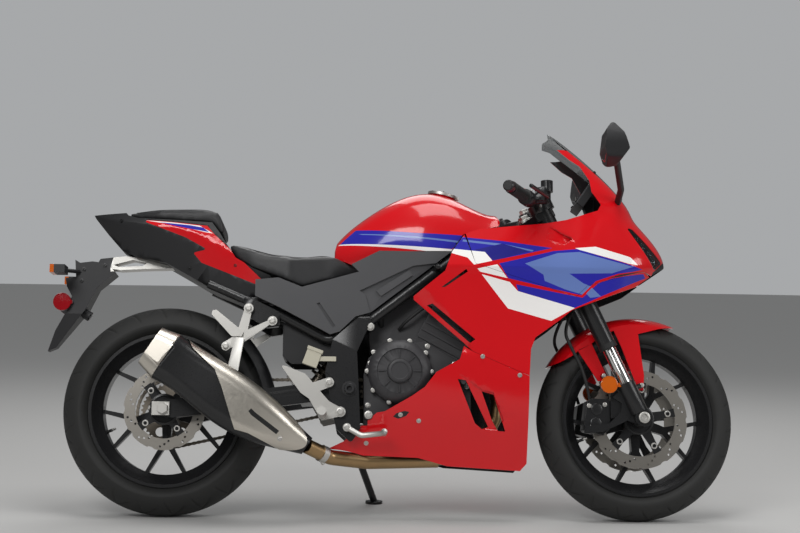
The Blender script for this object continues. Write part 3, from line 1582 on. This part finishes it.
@dataclass(frozen=True)
class DriveLine(Assembly):
    """Chain of plates and rollers over both sprockets."""

    across: float = 97.0
    # Sprockets as x, z and pitch radius.
    rear: Point = (0.0, 312.0, 104.0)
    front: Point = (618.0, 385.0, 38.0)
    rear_steps: int = 48
    front_steps: int = 24
    pitch: float = 15.875
    # Inner and outer faces of the link plates, from the chain's middle.
    outer_plates: Flat = (6.0, 7.6)
    inner_plates: Flat = (3.9, 5.5)
    plate_radius: float = 5.2
    plate_waist: float = 3.6
    pin_radius: float = 2.6
    pin_stand: float = 1.4
    roller_radius: float = 4.6
    teeth: int = 15
    tooth_tip: float = 3.5
    tooth_root: float = 5.0
    half_thick: float = 2.5
    shaft: Profile = ((14, -16), (14, 10), (12, 12), (0, 12))
    nut: Profile = ((20, 2), (20, 9), (0, 9))
    cover: Profile = ((558, 330), (572, 290), (628, 285), (628, 470), (618, 565), (586, 565), (562, 470))
    cover_reach: Flat = (109, 112)
    bolt_degrees: tuple[float, ...] = (30, 90, 150, 210, 270, 330)
    bolt_ring: float = 78.0
    bolt_size: float = 6.0

    def build(self) -> None:
        """Make the chain and the sprockets."""
        outer, inner = self.link_spots()
        self.shop.repeat("chain_outer_links", self.link(*self.outer_plates, True), outer, "chain_steel",
                         slot="steel", replaces=("drive_chain",))
        self.shop.repeat("chain_inner_links", self.link(*self.inner_plates, False), inner, "chain_steel",
                         slot="steel")
        self.shop.dressed("rear_sprocket", "chain_steel", 0.5)
        x, z, radius = self.front
        outline = []
        for step in range(self.teeth * 4):
            angle = 2 * pi * step / (self.teeth * 4)
            reach = radius + (self.tooth_tip if step % 4 in (1, 2) else -self.tooth_root)
            outline.append((x + reach * cos(angle), z + reach * sin(angle)))
        draft = Draft()
        draft.plate(outline, self.across - self.half_thick, self.across + self.half_thick, "chain_steel")
        draft.turned((x, self.across, z), (0, 1, 0), self.shaft, "chain_steel", 24)
        draft.turned((x, self.across, z), (0, 1, 0), self.nut, "chain_steel", 6)
        self.shop.fit(draft, "front_sprocket", "chassis", "steel", 0.4)
        cover = Draft()
        cover.plate(self.cover, *self.cover_reach, "black_abs")
        self.shop.fit(cover, "sprocket_cover", "chassis", "black_plastic", 1.0)
        bolts = []
        hub = Vector((self.rear[0], self.across + self.half_thick, self.rear[1]))
        for degrees in self.bolt_degrees:
            bolts.append(Spot(hub + spoke(degrees) * self.bolt_ring, Side.LEFT.out(), self.bolt_size))
        self.shop.repeat("sprocket_bolts", BOLT, bolts, body="rear_wheel")

    def link_spots(self) -> tuple[list[Spot], list[Spot]]:
        """Spots of the links, an even number round the loop.

        Returns:
            Spots of the outer links and of the inner links.
        """
        path = self.loop()
        reach = [0.0]
        for a, b in zip(path, path[1:] + path[:1]):
            reach.append(reach[-1] + dist(a, b))
        count = 2 * round(reach[-1] / self.pitch / 2)
        spots: tuple[list[Spot], list[Spot]] = ([], [])
        for number in range(count):
            goal = reach[-1] * number / count
            i = max(k for k in range(len(path)) if reach[k] <= goal)
            a, b = Vector(path[i]), Vector(path[(i + 1) % len(path)])
            spot = a.lerp(b, (goal - reach[i]) / max(reach[i + 1] - reach[i], 1e-9))
            heading = (b - a).normalized()
            spots[number % 2].append(Spot(Vector((spot.x, self.across, spot.y)), Vector((0, 1, 0)), 1.0,
                                          Vector((heading.x, 0, heading.y))))
        return spots

    def loop(self) -> list[Flat]:
        """Centreline of the chain in the side view.

        Returns:
            Points round both sprockets.
        """
        (x0, z0, r0), (x1, z1, r1) = self.rear, self.front
        base = atan2(z1 - z0, x1 - x0)
        spread = acos((r0 - r1) / hypot(x1 - x0, z1 - z0))
        front = [base + spread * (1 - 2 * i / self.front_steps) for i in range(self.front_steps + 1)]
        rear = [base - spread - (2 * pi - 2 * spread) * i / self.rear_steps
                for i in range(self.rear_steps + 1)]
        points = [(x1 + r1 * cos(a), z1 + r1 * sin(a)) for a in front]
        return points + [(x0 + r0 * cos(a), z0 + r0 * sin(a)) for a in rear]

    def link(self, low: float, high: float, pins: bool) -> Draft:
        """One chain link along x.

        Args:
            low: Inner face of its plates from the middle.
            high: Outer face.
            pins: Whether pin ends stand out, where an inner link has rollers.

        Returns:
            The drawing.
        """
        half = self.pitch / 2
        bows = [radians(degrees) for degrees in (-80, -30, 30, 80)]
        outline = [(half + self.plate_radius * cos(a), self.plate_radius * sin(a)) for a in bows]
        outline += [(0, self.plate_waist)] + [(-x, z) for x, z in outline[::-1]] + [(0, -self.plate_waist)]
        draft = Draft()
        for side in (-1, 1):
            rows = [[Vector((x, y, side * z)) for x, y in outline] for z in (low, high)]
            draft.skin(rows, "chain_steel", around=True, ends=True)
        reach = high + self.pin_stand if pins else low
        radius = self.pin_radius if pins else self.roller_radius
        for x in (-half, half):
            draft.turned((x, 0, -reach), UPWARD, ((radius, 0), (radius, 2 * reach)), "chain_steel", 8)
        return draft


@dataclass(frozen=True)
class Powertrain(Assembly):
    """Engine, its covers and bolts, radiator, exhaust and muffler."""

    plain: tuple[Plain, ...] = (
        ("engine", "cast_charcoal", 3.0), ("engine_covers", "cast_charcoal", 1.5),
        ("radiator", "stoved_black", 1.5), ("exhaust_pipe", "tinted_header", 0.0),
        ("muffler", "stoved_black", 0.0),
    )
    shield_slot: Profile = ((258, 300), (266, 308), (276, 298), (346, 246), (338, 236), (266, 289))
    shield_reach: Flat = (200.0, 400.0)
    # Round covers as x, z, radius and side.
    covers: tuple[tuple[float, float, float, Side], ...] = (
        (692, 430, 93, Side.RIGHT), (690, 385, 84, Side.LEFT),
    )
    cover_bolts: int = 10
    cover_bolt_margin: float = 2.0
    cover_bolt_out: float = 137.0
    cover_bolt_size: float = 5.4
    cover_ribs: int = 8
    rib_share: float = 0.55
    rib_out: float = 157.5
    cover_rib: Point = (22, 3.0, 5.0)
    rib_lift: float = 1.0
    # Raised middle of a cover: shares of its radius, and heights.
    cap: Profile = ((0.36, 0), (0.36, 5), (0.33, 6.4), (0.27, 6.4), (0.26, 5), (0, 5))
    cap_out: float = 164.0
    case_bolts: Profile = ((616, 250), (700, 242), (850, 236), (893, 275), (893, 390), (855, 455), (775, 508),
                           (655, 500), (606, 455), (600, 330))
    case_bolt_out: float = 114.7
    case_bolt_size: float = 6.0
    block_at: Point = (800, 0, 486)
    block_tilt_deg: float = 28.0
    block_half: float = 106.5
    block_rows: tuple[float, ...] = (0, 24, 48, 72, 96, 118)
    block_rib: Point = (144, 6, 9)
    core_at: Point = (1066, 0, 548)
    core_tilt_deg: float = 14.0
    fin_count: int = 33
    fin_ahead: float = 15.6
    fin_low: float = -128.0
    fin_pitch: float = 8.0
    fin: Point = (244, 2.4, 3.0)
    # Short formed hoses between fixed stubs: radius, flats round it, and the points it runs through.
    coolant_runs: tuple[tuple[float, int, tuple[Point, ...]], ...] = (
        (15, 16, ((1040, -128, 640), (1005, -128, 662), (960, -100, 655), (925, -82, 640))),
        (15, 16, ((1040, 128, 470), (990, 128, 440), (930, 112, 420), (908, 100, 400))),
        (9, 12, ((640, -60, 560), (640, -96, 600), (700, -98, 660), (770, -92, 690))),
        (5, 12, ((690, -84, 560), (720, -108, 590), (790, -100, 640), (860, -92, 650))),
    )
    muffler_axis: Point = (-0.835, -0.05, 0.548)
    mouth: Point = (-30, -219, 487)
    liner: Profile = ((25.6, -30), (25.6, -1), (24, 0), (23, -2), (23, -29), (0, -29))
    pipe_end: Point = (492, -118, 176)
    pipe_next: Point = (425, -166, 206)
    clamp_along: float = 28.0
    clamp: Profile = ((22, -9), (25, -9), (25, 9), (22, 9))
    clamp_bolt_drop: float = 26.0
    clamp_bolt_size: float = 5.0
    header_shield: Profile = ((885, 410), (950, 410), (1012, 262), (985, 248), (890, 300))
    header_half: float = 1.5
    shield_bolts: Profile = ((348, 224), (104, 496))
    shield_bolt_size: float = 6.0
    beside: float = -400.0

    def build(self) -> None:
        """Dress the solids and fit ribs, bolts and bands."""
        self.dress(self.plain)
        slot = Stripe("stoved_black", self.shield_slot, self.shield_reach)
        self.shop.dressed("muffler_shield", "brushed_stainless", stripes=(slot,))
        self.covers_detail()
        self.block_detail()
        self.exhaust_detail()

    def covers_detail(self) -> None:
        """Bolt rings and ribs of the two round covers."""
        bolts = []
        ribs = []
        draft = Draft()
        for x, z, radius, side in self.covers:
            out = side.out()
            hub = Vector((x, 0, z))
            for step in range(self.cover_bolts):
                heading = spoke(360 / self.cover_bolts * step)
                place = hub + heading * (radius + self.cover_bolt_margin) + out * self.cover_bolt_out
                bolts.append(Spot(place, out, self.cover_bolt_size))
            for step in range(self.cover_ribs):
                heading = spoke(360 / self.cover_ribs * step)
                place = hub + heading * radius * self.rib_share + out * self.rib_out
                ribs.append(Spot(place, out, 1.0, heading))
            cap = tuple((radius * share, height) for share, height in self.cap)
            draft.turned(hub + out * self.cap_out, out, cap, "cast_charcoal", 48)
        for x, z in self.case_bolts:
            for side in Side:
                bolts.append(Spot(side.place((x, self.case_bolt_out, z)), side.out(), self.case_bolt_size))
        rib = Draft()
        rib.block(Matrix.Translation((0, 0, self.rib_lift)), self.cover_rib, "cast_charcoal")
        self.shop.repeat("cover_ribs", rib, ribs, "cast_charcoal", "chassis", "engine_paint")
        self.shop.repeat("engine_bolts", BOLT, bolts)
        self.shop.fit(draft, "cover_caps", "chassis", "engine_paint", 0.6)

    def block_detail(self) -> None:
        """Ribs of the cylinder block, radiator fins and coolant hoses."""
        pose = Matrix.Translation(self.block_at) @ Matrix.Rotation(radians(self.block_tilt_deg), 4, "Y")
        along = pose.to_3x3() @ Vector((1, 0, 0))
        ribs = [Spot(pose @ side.place((0, self.block_half, height)), side.out(), 1.0, along)
                for side in Side for height in self.block_rows]
        rib = Draft()
        rib.block(Matrix.Identity(4), self.block_rib, "cast_charcoal")
        self.shop.repeat("block_ribs", rib, ribs, "cast_charcoal", "chassis", "engine_paint")
        pose = Matrix.Translation(self.core_at) @ Matrix.Rotation(radians(self.core_tilt_deg), 4, "Y")
        ahead = pose.to_3x3() @ Vector((1, 0, 0))
        heights = [self.fin_low + self.fin_pitch * i for i in range(self.fin_count)]
        fins = [Spot(pose @ Vector((self.fin_ahead, 0, height)), ahead, 1.0, Side.LEFT.out())
                for height in heights]
        fin = Draft()
        fin.block(Matrix.Identity(4), self.fin, "cast_alloy")
        self.shop.repeat("radiator_fins", fin, fins, "stoved_black", "chassis", "black_paint")
        draft = Draft()
        for radius, steps, path in self.coolant_runs:
            draft.tube(path, radius, "soft_rubber", steps)
        self.shop.fit(draft, "coolant_hoses", "chassis", "rubber")

    def exhaust_detail(self) -> None:
        """Clamp band, outlet liner, header shield and bolts."""
        draft = Draft()
        draft.turned(self.mouth, self.muffler_axis, self.liner, "stoved_black", 40)
        along = (Vector(self.pipe_next) - Vector(self.pipe_end)).normalized()
        clamp_at = Vector(self.pipe_end) + along * self.clamp_along
        draft.turned(clamp_at, along, self.clamp, "cast_alloy", 40)
        self.shop.fit(draft, "exhaust_rings", "chassis", "steel", smooth_deg=40)
        shield = Draft()
        shield.plate(self.header_shield, -self.header_half, self.header_half, "stoved_black")
        self.shop.fit(shield, "header_shield", "chassis", "black_paint", 0.5)
        starts = [(x, self.beside, z) for x, z in self.shield_bolts]
        bolts = self.shop.spots_on(("muffler_shield",), starts, (0, 1, 0), self.shield_bolt_size)
        below = clamp_at - Vector((0, 0, self.clamp_bolt_drop))
        bolts.append(Spot(below, Side.RIGHT.out(), self.clamp_bolt_size))
        self.shop.repeat("exhaust_bolts", BOLT, bolts)


@dataclass(frozen=True)
class Cockpit(Assembly):
    """Bars with grips and switches, clamps, display and mirrors."""

    # Left bar: where it leaves its clamp, and its end.
    root: Point = (1106, 106, 934)
    tip: Point = (968, 340, 938)
    # Distances along a bar from its root, places as along, ahead and up, and profiles.
    rib_start: float = 146.0
    rib_pitch: float = 7.0
    rib_count: int = 15
    grip_rib: Profile = ((17.2, -2.2), (18.6, -1.2), (18.6, 1.2), (17.2, 2.2))
    grip_start: float = 136.0
    grip: Profile = ((17, 0), (22, 0.5), (22, 4), (17.4, 7), (17.4, 113), (19, 114), (19, 116), (12, 117))
    bar_end_start: float = 254.0
    bar_end: Profile = ((10, 0), (16.6, 1), (16.6, 22), (13, 26), (0, 26))
    top_switch_at: Point = (116, -8, 20)
    top_switch: Profile = ((6, 0), (6, 8), (5, 9), (0, 9))
    rear_switch_at: Point = (112, -20, 0)
    rear_switch: Profile = ((7, 0), (7, 6), (6, 7), (0, 7))
    switch_lean: float = 0.5
    switch_bolt_at: Point = (108, 10, 23.5)
    switch_bolt_size: float = 3.0
    # Bolts of the upper clamp: height, offset across and size.
    fork_cap: Point = (958, 100, 14.0)
    bar_bolt: Point = (931, 138, 5.0)
    bar_bolt_back: float = 8.0
    stem_nut: Point = (1078, 0, 911)
    stem_nut_size: float = 17.0
    display_at: Point = (1262, 0, 985)
    display_tilt_deg: float = 35.0
    # Plates of the display: place, size and finish.
    display_plates: tuple[tuple[Point, Point, str], ...] = (
        ((-13.4, 0, 0), (3.0, 140, 74), "grey_abs"),
        ((-14.6, 0, 2), (2.6, 122, 56), "smoked_lens"),
        ((-14.0, 0, 2), (2.6, 112, 46), "stoved_black"),
    )
    button_at: Point = (-14.5, 50, -31)
    button: Profile = ((5, 0), (5, 3), (4, 4), (0, 4))
    # Edge of the left mirror's glass as y and z, and its two faces along x.
    glass: Profile = ((282, 1048), (305, 1034), (362, 1048), (370, 1088), (354, 1132), (290, 1134))
    glass_faces: Flat = (3.0, -0.8)
    behind_mirror: float = 1100.0

    def build(self) -> None:
        """Dress the solids and fit the controls' small parts."""
        self.shop.dressed("triple_clamps", "stoved_black", 1.5)
        self.shop.dressed("handlebars", "stoved_black")
        self.shop.dressed("mirrors", "black_abs", 4.0, 50.0)
        self.shop.dressed("instrument_panel", "black_abs", 2.5)
        self.grips()
        self.display()
        self.mirror_glass()

    def grips(self) -> None:
        """Ribbed grips, bar ends, switches and clamp bolts."""
        ribs = []
        draft = Draft()
        bolts = []
        up = Vector(UPWARD)
        bike = self.shop.bike
        for side in Side:
            root = side.place(self.root)
            along = (side.place(self.tip) - root).normalized()
            ahead = Vector((along.y * side.value, -along.x * side.value, 0))
            top, rear, bolt = [root + along * a + up * c + ahead * b for a, b, c in
                               (self.top_switch_at, self.rear_switch_at, self.switch_bolt_at)]
            ribs += [Spot(root + along * (self.rib_start + self.rib_pitch * i), along, 1.0)
                     for i in range(self.rib_count)]
            draft.turned(root + along * self.grip_start, along, self.grip, "soft_rubber", 32)
            draft.turned(root + along * self.bar_end_start, along, self.bar_end, "stoved_black", 32)
            draft.turned(top, up - ahead * self.switch_lean, self.top_switch,
                         "red_enamel" if side is Side.RIGHT else "grey_abs", 20)
            draft.turned(rear, -ahead, self.rear_switch, "grey_abs", 20)
            bolts.append(Spot(bolt, up, self.switch_bolt_size))
            height, across, size = self.fork_cap
            bolts.append(Spot(bike.fork_point(height, side.value * across), bike.steer_axis, size))
            height, across, size = self.bar_bolt
            place = bike.fork_point(height, side.value * across) - Vector((self.bar_bolt_back, 0, 0))
            bolts.append(Spot(place, Vector((-1, 0, 0)), size))
        ring = Draft()
        ring.turned(ORIGIN, UPWARD, self.grip_rib, "soft_rubber", 16)
        self.shop.repeat("grip_ribs", ring, ribs, "soft_rubber", "steering", "rubber")
        self.shop.fit(draft, "grip_parts", "steering", "rubber", smooth_deg=40)
        bolts.append(Spot(Vector(self.stem_nut), bike.steer_axis, self.stem_nut_size))
        self.shop.repeat("clamp_bolts", BOLT, bolts, body="steering")

    def display(self) -> None:
        """Glass, bezel and buttons of the instrument."""
        tilt = Matrix.Rotation(radians(self.display_tilt_deg), 4, "Y")
        pose = Matrix.Translation(self.display_at) @ tilt
        draft = Draft()
        for place, size, finish in self.display_plates:
            draft.block(pose @ Matrix.Translation(place), size, finish)
        face = pose.to_3x3() @ Vector((-1, 0, 0))
        for side in Side:
            draft.turned(pose @ side.place(self.button_at), face, self.button, "soft_rubber", 16)
        self.shop.fit(draft, "display_face", "chassis", "black_plastic", 0.8)

    def mirror_glass(self) -> None:
        """Glass of both mirrors, on their rear faces."""
        draft = Draft()
        for side in Side:
            starts = [(self.behind_mirror, y * side.value, z) for y, z in self.glass]
            found = self.shop.spots_on(("mirrors",), starts, (1, 0, 0), 1.0)
            rows = [[spot.place + Vector((shift, 0, 0)) for spot in found] for shift in self.glass_faces]
            draft.skin(rows, "hard_chrome", around=True, ends=True)
        self.shop.fit(draft, "mirror_glass", "chassis", "chrome", smooth_deg=25)


@dataclass(frozen=True)
class ForkSet(Assembly):
    """Fork, fender, calipers and axle at the front."""

    plain: tuple[Plain, ...] = (
        ("fork_tubes", "stoved_black", 0.0), ("fork_sliders", "hard_chrome", 0.0),
        ("fork_feet", "stoved_black", 1.0), ("front_axle", "cast_alloy", 0.8),
        ("front_fender", "red_enamel", 0.0), ("front_calipers", "stoved_black", 1.5),
        ("side_reflectors", "amber_lens", 0.8),
    )
    fork_half: float = 100.0
    seal_height: float = 509.0
    seal: Profile = ((21, -14), (28.2, -14), (28.2, 2), (25, 4), (21, 4))
    pistons: tuple[Point, ...] = ((1275, 87, 326), (1272, 87, 284))
    piston: Profile = ((17, 0), (17, 3), (14, 4.6), (0, 4.6))
    axle_end: Point = (1410, 127.5, 300)
    axle_ring: Profile = ((16, 0), (16, 2), (14, 3), (10, 3), (9.6, -6), (0, -6))
    reflector_at: Point = (1306, 123.6, 396)
    reflector: Profile = ((25.6, -5), (25.6, 1.2), (23.8, 1.8), (23.6, 0.8), (0, 1.6))
    # Bolts of the calipers, the fender and the feet.
    bolts: tuple[Point, ...] = (
        (1252, 88, 336), (1258, 88, 272), (1300, 88, 340), (1300, 88, 276), (1298, 91, 426), (1413, 93, 400),
        (1428, 102, 290), (1362, 102, 372),
    )
    bolt_size: float = 5.0

    def build(self) -> None:
        """Dress the solids and fit seals, bolts and reflectors."""
        self.dress(self.plain)
        draft = Draft()
        bolts = []
        for side in Side:
            out = side.out()
            top = self.shop.bike.fork_point(self.seal_height, side.value * self.fork_half)
            draft.turned(top, -self.shop.bike.steer_axis, self.seal, "soft_rubber", 36)
            for place in self.pistons:
                draft.turned(side.place(place), out, self.piston, "stoved_black", 32)
            draft.turned(side.place(self.axle_end), out, self.axle_ring, "cast_alloy", 36)
            bolts += [Spot(side.place(place), out, self.bolt_size) for place in self.bolts]
            draft.turned(side.place(self.reflector_at), out, self.reflector, "amber_lens", 36)
        self.shop.fit(draft, "fork_fittings", "steering", "black_paint", smooth_deg=40)
        self.shop.repeat("fork_bolts", BOLT, bolts, body="steering")


@dataclass(frozen=True)
class Chassis(Assembly):
    """Frame, swingarm, pegs and the rest that keeps its solid's form."""

    plain: tuple[Plain, ...] = (
        ("main_frame", "stoved_black", 0.0), ("inner_guard", "black_abs", 1.0),
        ("side_covers", "grey_abs", 2.0), ("swingarm", "stoved_black", 2.0), ("rear_axle", "cast_alloy", 1.0),
        ("rear_shock", "chain_steel", 1.0), ("rear_hugger", "black_abs", 0.0),
        ("rear_caliper", "stoved_black", 1.5),
        ("passenger_pegs", "cast_alloy", 1.0), ("rider_pegs", "cast_alloy", 1.0),
        ("foot_controls", "cast_alloy", 0.0), ("brake_reservoir", "milky_nylon", 1.5),
        ("side_stand", "stoved_black", 0.0),
    )
    # Bolts on both sides: x, y, z and size.
    side_bolts: tuple[tuple[float, float, float, float], ...] = (
        (602, 150, 300, 9.0), (604, 150, 560, 9.0), (244, 145, 611, 8.0), (315, 145, 574, 8.0),
        (180, 150, 497, 8.0), (486, 168, 393, 8.0), (520, 168, 307, 9.0), (900, 134, 800, 7.0),
        (540, 172, 262, 7.0),
    )
    adjuster: Point = (-38, 122, 314)
    adjuster_size: float = 7.0
    caliper_bolts: tuple[Point, ...] = ((56, -109.7, 424), (94, -109.7, 402), (84, -109.7, 335))
    caliper_bolt_size: float = 6.0
    pivot: Point = (545, 153, 376)
    pivot_cap_size: float = 16.0

    def build(self) -> None:
        """Dress the solids and fit the bolts."""
        self.dress(self.plain)
        bolts = []
        caps = []
        for side in Side:
            out = side.out()
            bolts += [Spot(side.place(place), out, size) for *place, size in self.side_bolts]
            bolts.append(Spot(side.place(self.adjuster), Vector((-1, 0, 0)), self.adjuster_size))
            caps.append(Spot(side.place(self.pivot), out, self.pivot_cap_size))
        right = Side.RIGHT.out()
        bolts += [Spot(Vector(place), right, self.caliper_bolt_size) for place in self.caliper_bolts]
        self.shop.repeat("chassis_bolts", BOLT, bolts)
        self.shop.repeat("pivot_caps", SCREW, caps, "black_abs", "chassis", "black_plastic")


class Studio:
    """Plain floor, soft light and the camera at the photograph's view."""

    DISTANCE_MM = 4800.0
    FOCAL_PX = 1602.5
    ASIDE_MM = -13.5
    HEIGHT_MM = 743.9
    PITCH_DEG = 0.143
    ROLL_DEG = 0.838
    YAW_DEG = 1.604
    IMAGE_WIDTH_PX = 800
    SENSOR_MM = 36.0
    FLOOR_COLOUR = "#B4B3B1"
    FLOOR_ROUGHNESS = 0.8
    FLOOR_RADIUS_M = 60.0
    FLOOR_CORNERS = 48
    # Square soft lamps: name, place and size in metres, and power in watts.
    LAMPS = (
        ("top_lamp", (0.2, -0.8, 4.2), 2.0, 64.0),
        ("side_lamp", (-1.8, -4.2, 3.5), 2.0, 104.0),
        ("front_lamp", (3.8, -2.4, 2.2), 1.6, 44.0),
        ("far_lamp", (0.4, 3.4, 4.2), 3.2, 70.0),
    )
    AIM_M = (0, 0, 0.5)
    SKY_COLOUR = (0.92, 0.94, 0.96, 1)
    SKY_STRENGTH = 0.42
    # What the sky loses in mirrored rays, so that the paint's clear coat does not wash its colour out.
    SKY_MIRROR_LOSS = 0.3

    def __init__(self, bike: BikeFrame) -> None:
        """Keep the bike's axes."""
        self.bike = bike

    def camera(self) -> None:
        """Set the camera where the photograph was taken."""
        yaw = Matrix.Rotation(radians(-self.YAW_DEG), 3, "Z")
        pitch = radians(self.PITCH_DEG)
        roll = radians(self.ROLL_DEG)
        view = Vector((0, cos(pitch), sin(pitch)))
        level = Vector((1, 0, 0))
        top = Vector((0, -sin(pitch), cos(pitch)))
        right = yaw @ (level * cos(roll) + top * sin(roll))
        up = yaw @ (top * cos(roll) - level * sin(roll))
        back = yaw @ -view
        ground = self.bike.matrix @ Vector((self.bike.WHEELBASE / 2, 0, 0))
        spot = yaw @ (Vector((self.ASIDE_MM, -self.DISTANCE_MM, self.HEIGHT_MM)) / MM_PER_M)
        spot += Vector((ground.x, ground.y, 0))
        data = bpy.data.cameras.new("photo_view")
        data.sensor_width = self.SENSOR_MM
        data.lens = self.FOCAL_PX / self.IMAGE_WIDTH_PX * self.SENSOR_MM
        camera = bpy.data.objects.new("photo_view", data)
        rows = [(right[i], up[i], back[i], spot[i]) for i in range(3)]
        camera.matrix_world = Matrix((*rows, (0, 0, 0, 1)))
        bpy.context.scene.collection.objects.link(camera)
        bpy.context.scene.camera = camera

    def floor(self) -> None:
        """Lay a wide pale floor."""
        mesh = bpy.data.meshes.new("floor")
        angles = np.linspace(0, 2 * pi, self.FLOOR_CORNERS + 1)[:-1]
        ring = [(self.FLOOR_RADIUS_M * cos(a), self.FLOOR_RADIUS_M * sin(a), 0.0) for a in angles]
        mesh.from_pydata(ring, [], [tuple(range(self.FLOOR_CORNERS))])
        material = bpy.data.materials.new("pale_floor")
        material.use_nodes = True
        shader = material.node_tree.nodes["Principled BSDF"]
        shader.inputs["Base Color"].default_value = linear(self.FLOOR_COLOUR)
        shader.inputs["Roughness"].default_value = self.FLOOR_ROUGHNESS
        mesh.materials.append(material)
        floor = bpy.data.objects.new("floor", mesh)
        bpy.context.scene.collection.objects.link(floor)

    def lights(self) -> None:
        """Hang large soft lamps on both sides and a pale sky."""
        for name, place, size, power in self.LAMPS:
            data = bpy.data.lights.new(name, "AREA")
            data.size = size
            data.energy = power
            lamp = bpy.data.objects.new(name, data)
            lamp.location = place
            aim = Vector(self.AIM_M) - Vector(place)
            lamp.rotation_euler = aim.to_track_quat("-Z", "Y").to_euler()
            bpy.context.scene.collection.objects.link(lamp)
        world = bpy.data.worlds.new("pale_sky")
        world.use_nodes = True
        tree = world.node_tree
        sky = tree.nodes["Background"]
        sky.inputs["Color"].default_value = self.SKY_COLOUR
        path = add_node(tree, "ShaderNodeLightPath")
        strength = add_node(tree, "ShaderNodeMath",
                            {"operation": "MULTIPLY_ADD", 1: -self.SKY_MIRROR_LOSS, 2: self.SKY_STRENGTH},
                            {0: path.outputs["Is Glossy Ray"]})
        tree.links.new(strength.outputs[0], sky.inputs["Strength"])
        bpy.context.scene.world = world


def main() -> None:
    """Build every sub-assembly in order and report each piece."""
    logging.basicConfig(level=logging.INFO, format="%(message)s")
    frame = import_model()
    bpy.context.scene.view_settings.view_transform = "Standard"
    bike = BikeFrame(frame["joints"])
    shop = BodyShop(frame, bike, FinishShelf(FINISHES))
    studio = Studio(bike)
    studio.camera()
    Hoses(shop).build()
    studio.floor()
    studio.lights()
    front = Wheel(
        shop, body="front_wheel", prefix="front", centre=(bike.WHEELBASE, bike.FRONT_RADIUS),
        radius=bike.FRONT_RADIUS, half_width=60, crown=63, rim_half=44.5, pitches=22, disc_node="front_discs",
        disc_radius=148, band=38, petals=12, disc_faces=((56, 60.5), (-60.5, -56)), lug_ring=90,
        lugs=(12, 84, 156, 228, 300),
    )
    rear = Wheel(
        shop, body="rear_wheel", prefix="rear", centre=(0, bike.REAR_RADIUS), radius=bike.REAR_RADIUS,
        half_width=80, crown=85, rim_half=57, pitches=22, disc_node="rear_disc", disc_radius=120, band=34,
        petals=10, disc_faces=((-97, -92),), lug_ring=68, lugs=(127, 217, 305, 37),
    )
    rider = Seat(shop, "rider_seat", 725.0,
                 ((190, 88), (250, 112), (330, 122), (400, 112), (470, 88), (530, 62)))
    passenger = Seat(shop, "passenger_seat", 894.0, ((-110, 34), (-40, 66), (30, 80), (100, 86), (140, 84)),
                     rise_mm=6.0, strap_x=112.0)
    rest = [kind(shop) for kind in (Fairing, Tank, Tail, DriveLine, Powertrain, Cockpit, ForkSet, Chassis)]
    for part in (front, rear, rider, passenger, *rest):
        part.build()


if __name__ == "__main__":
    main()
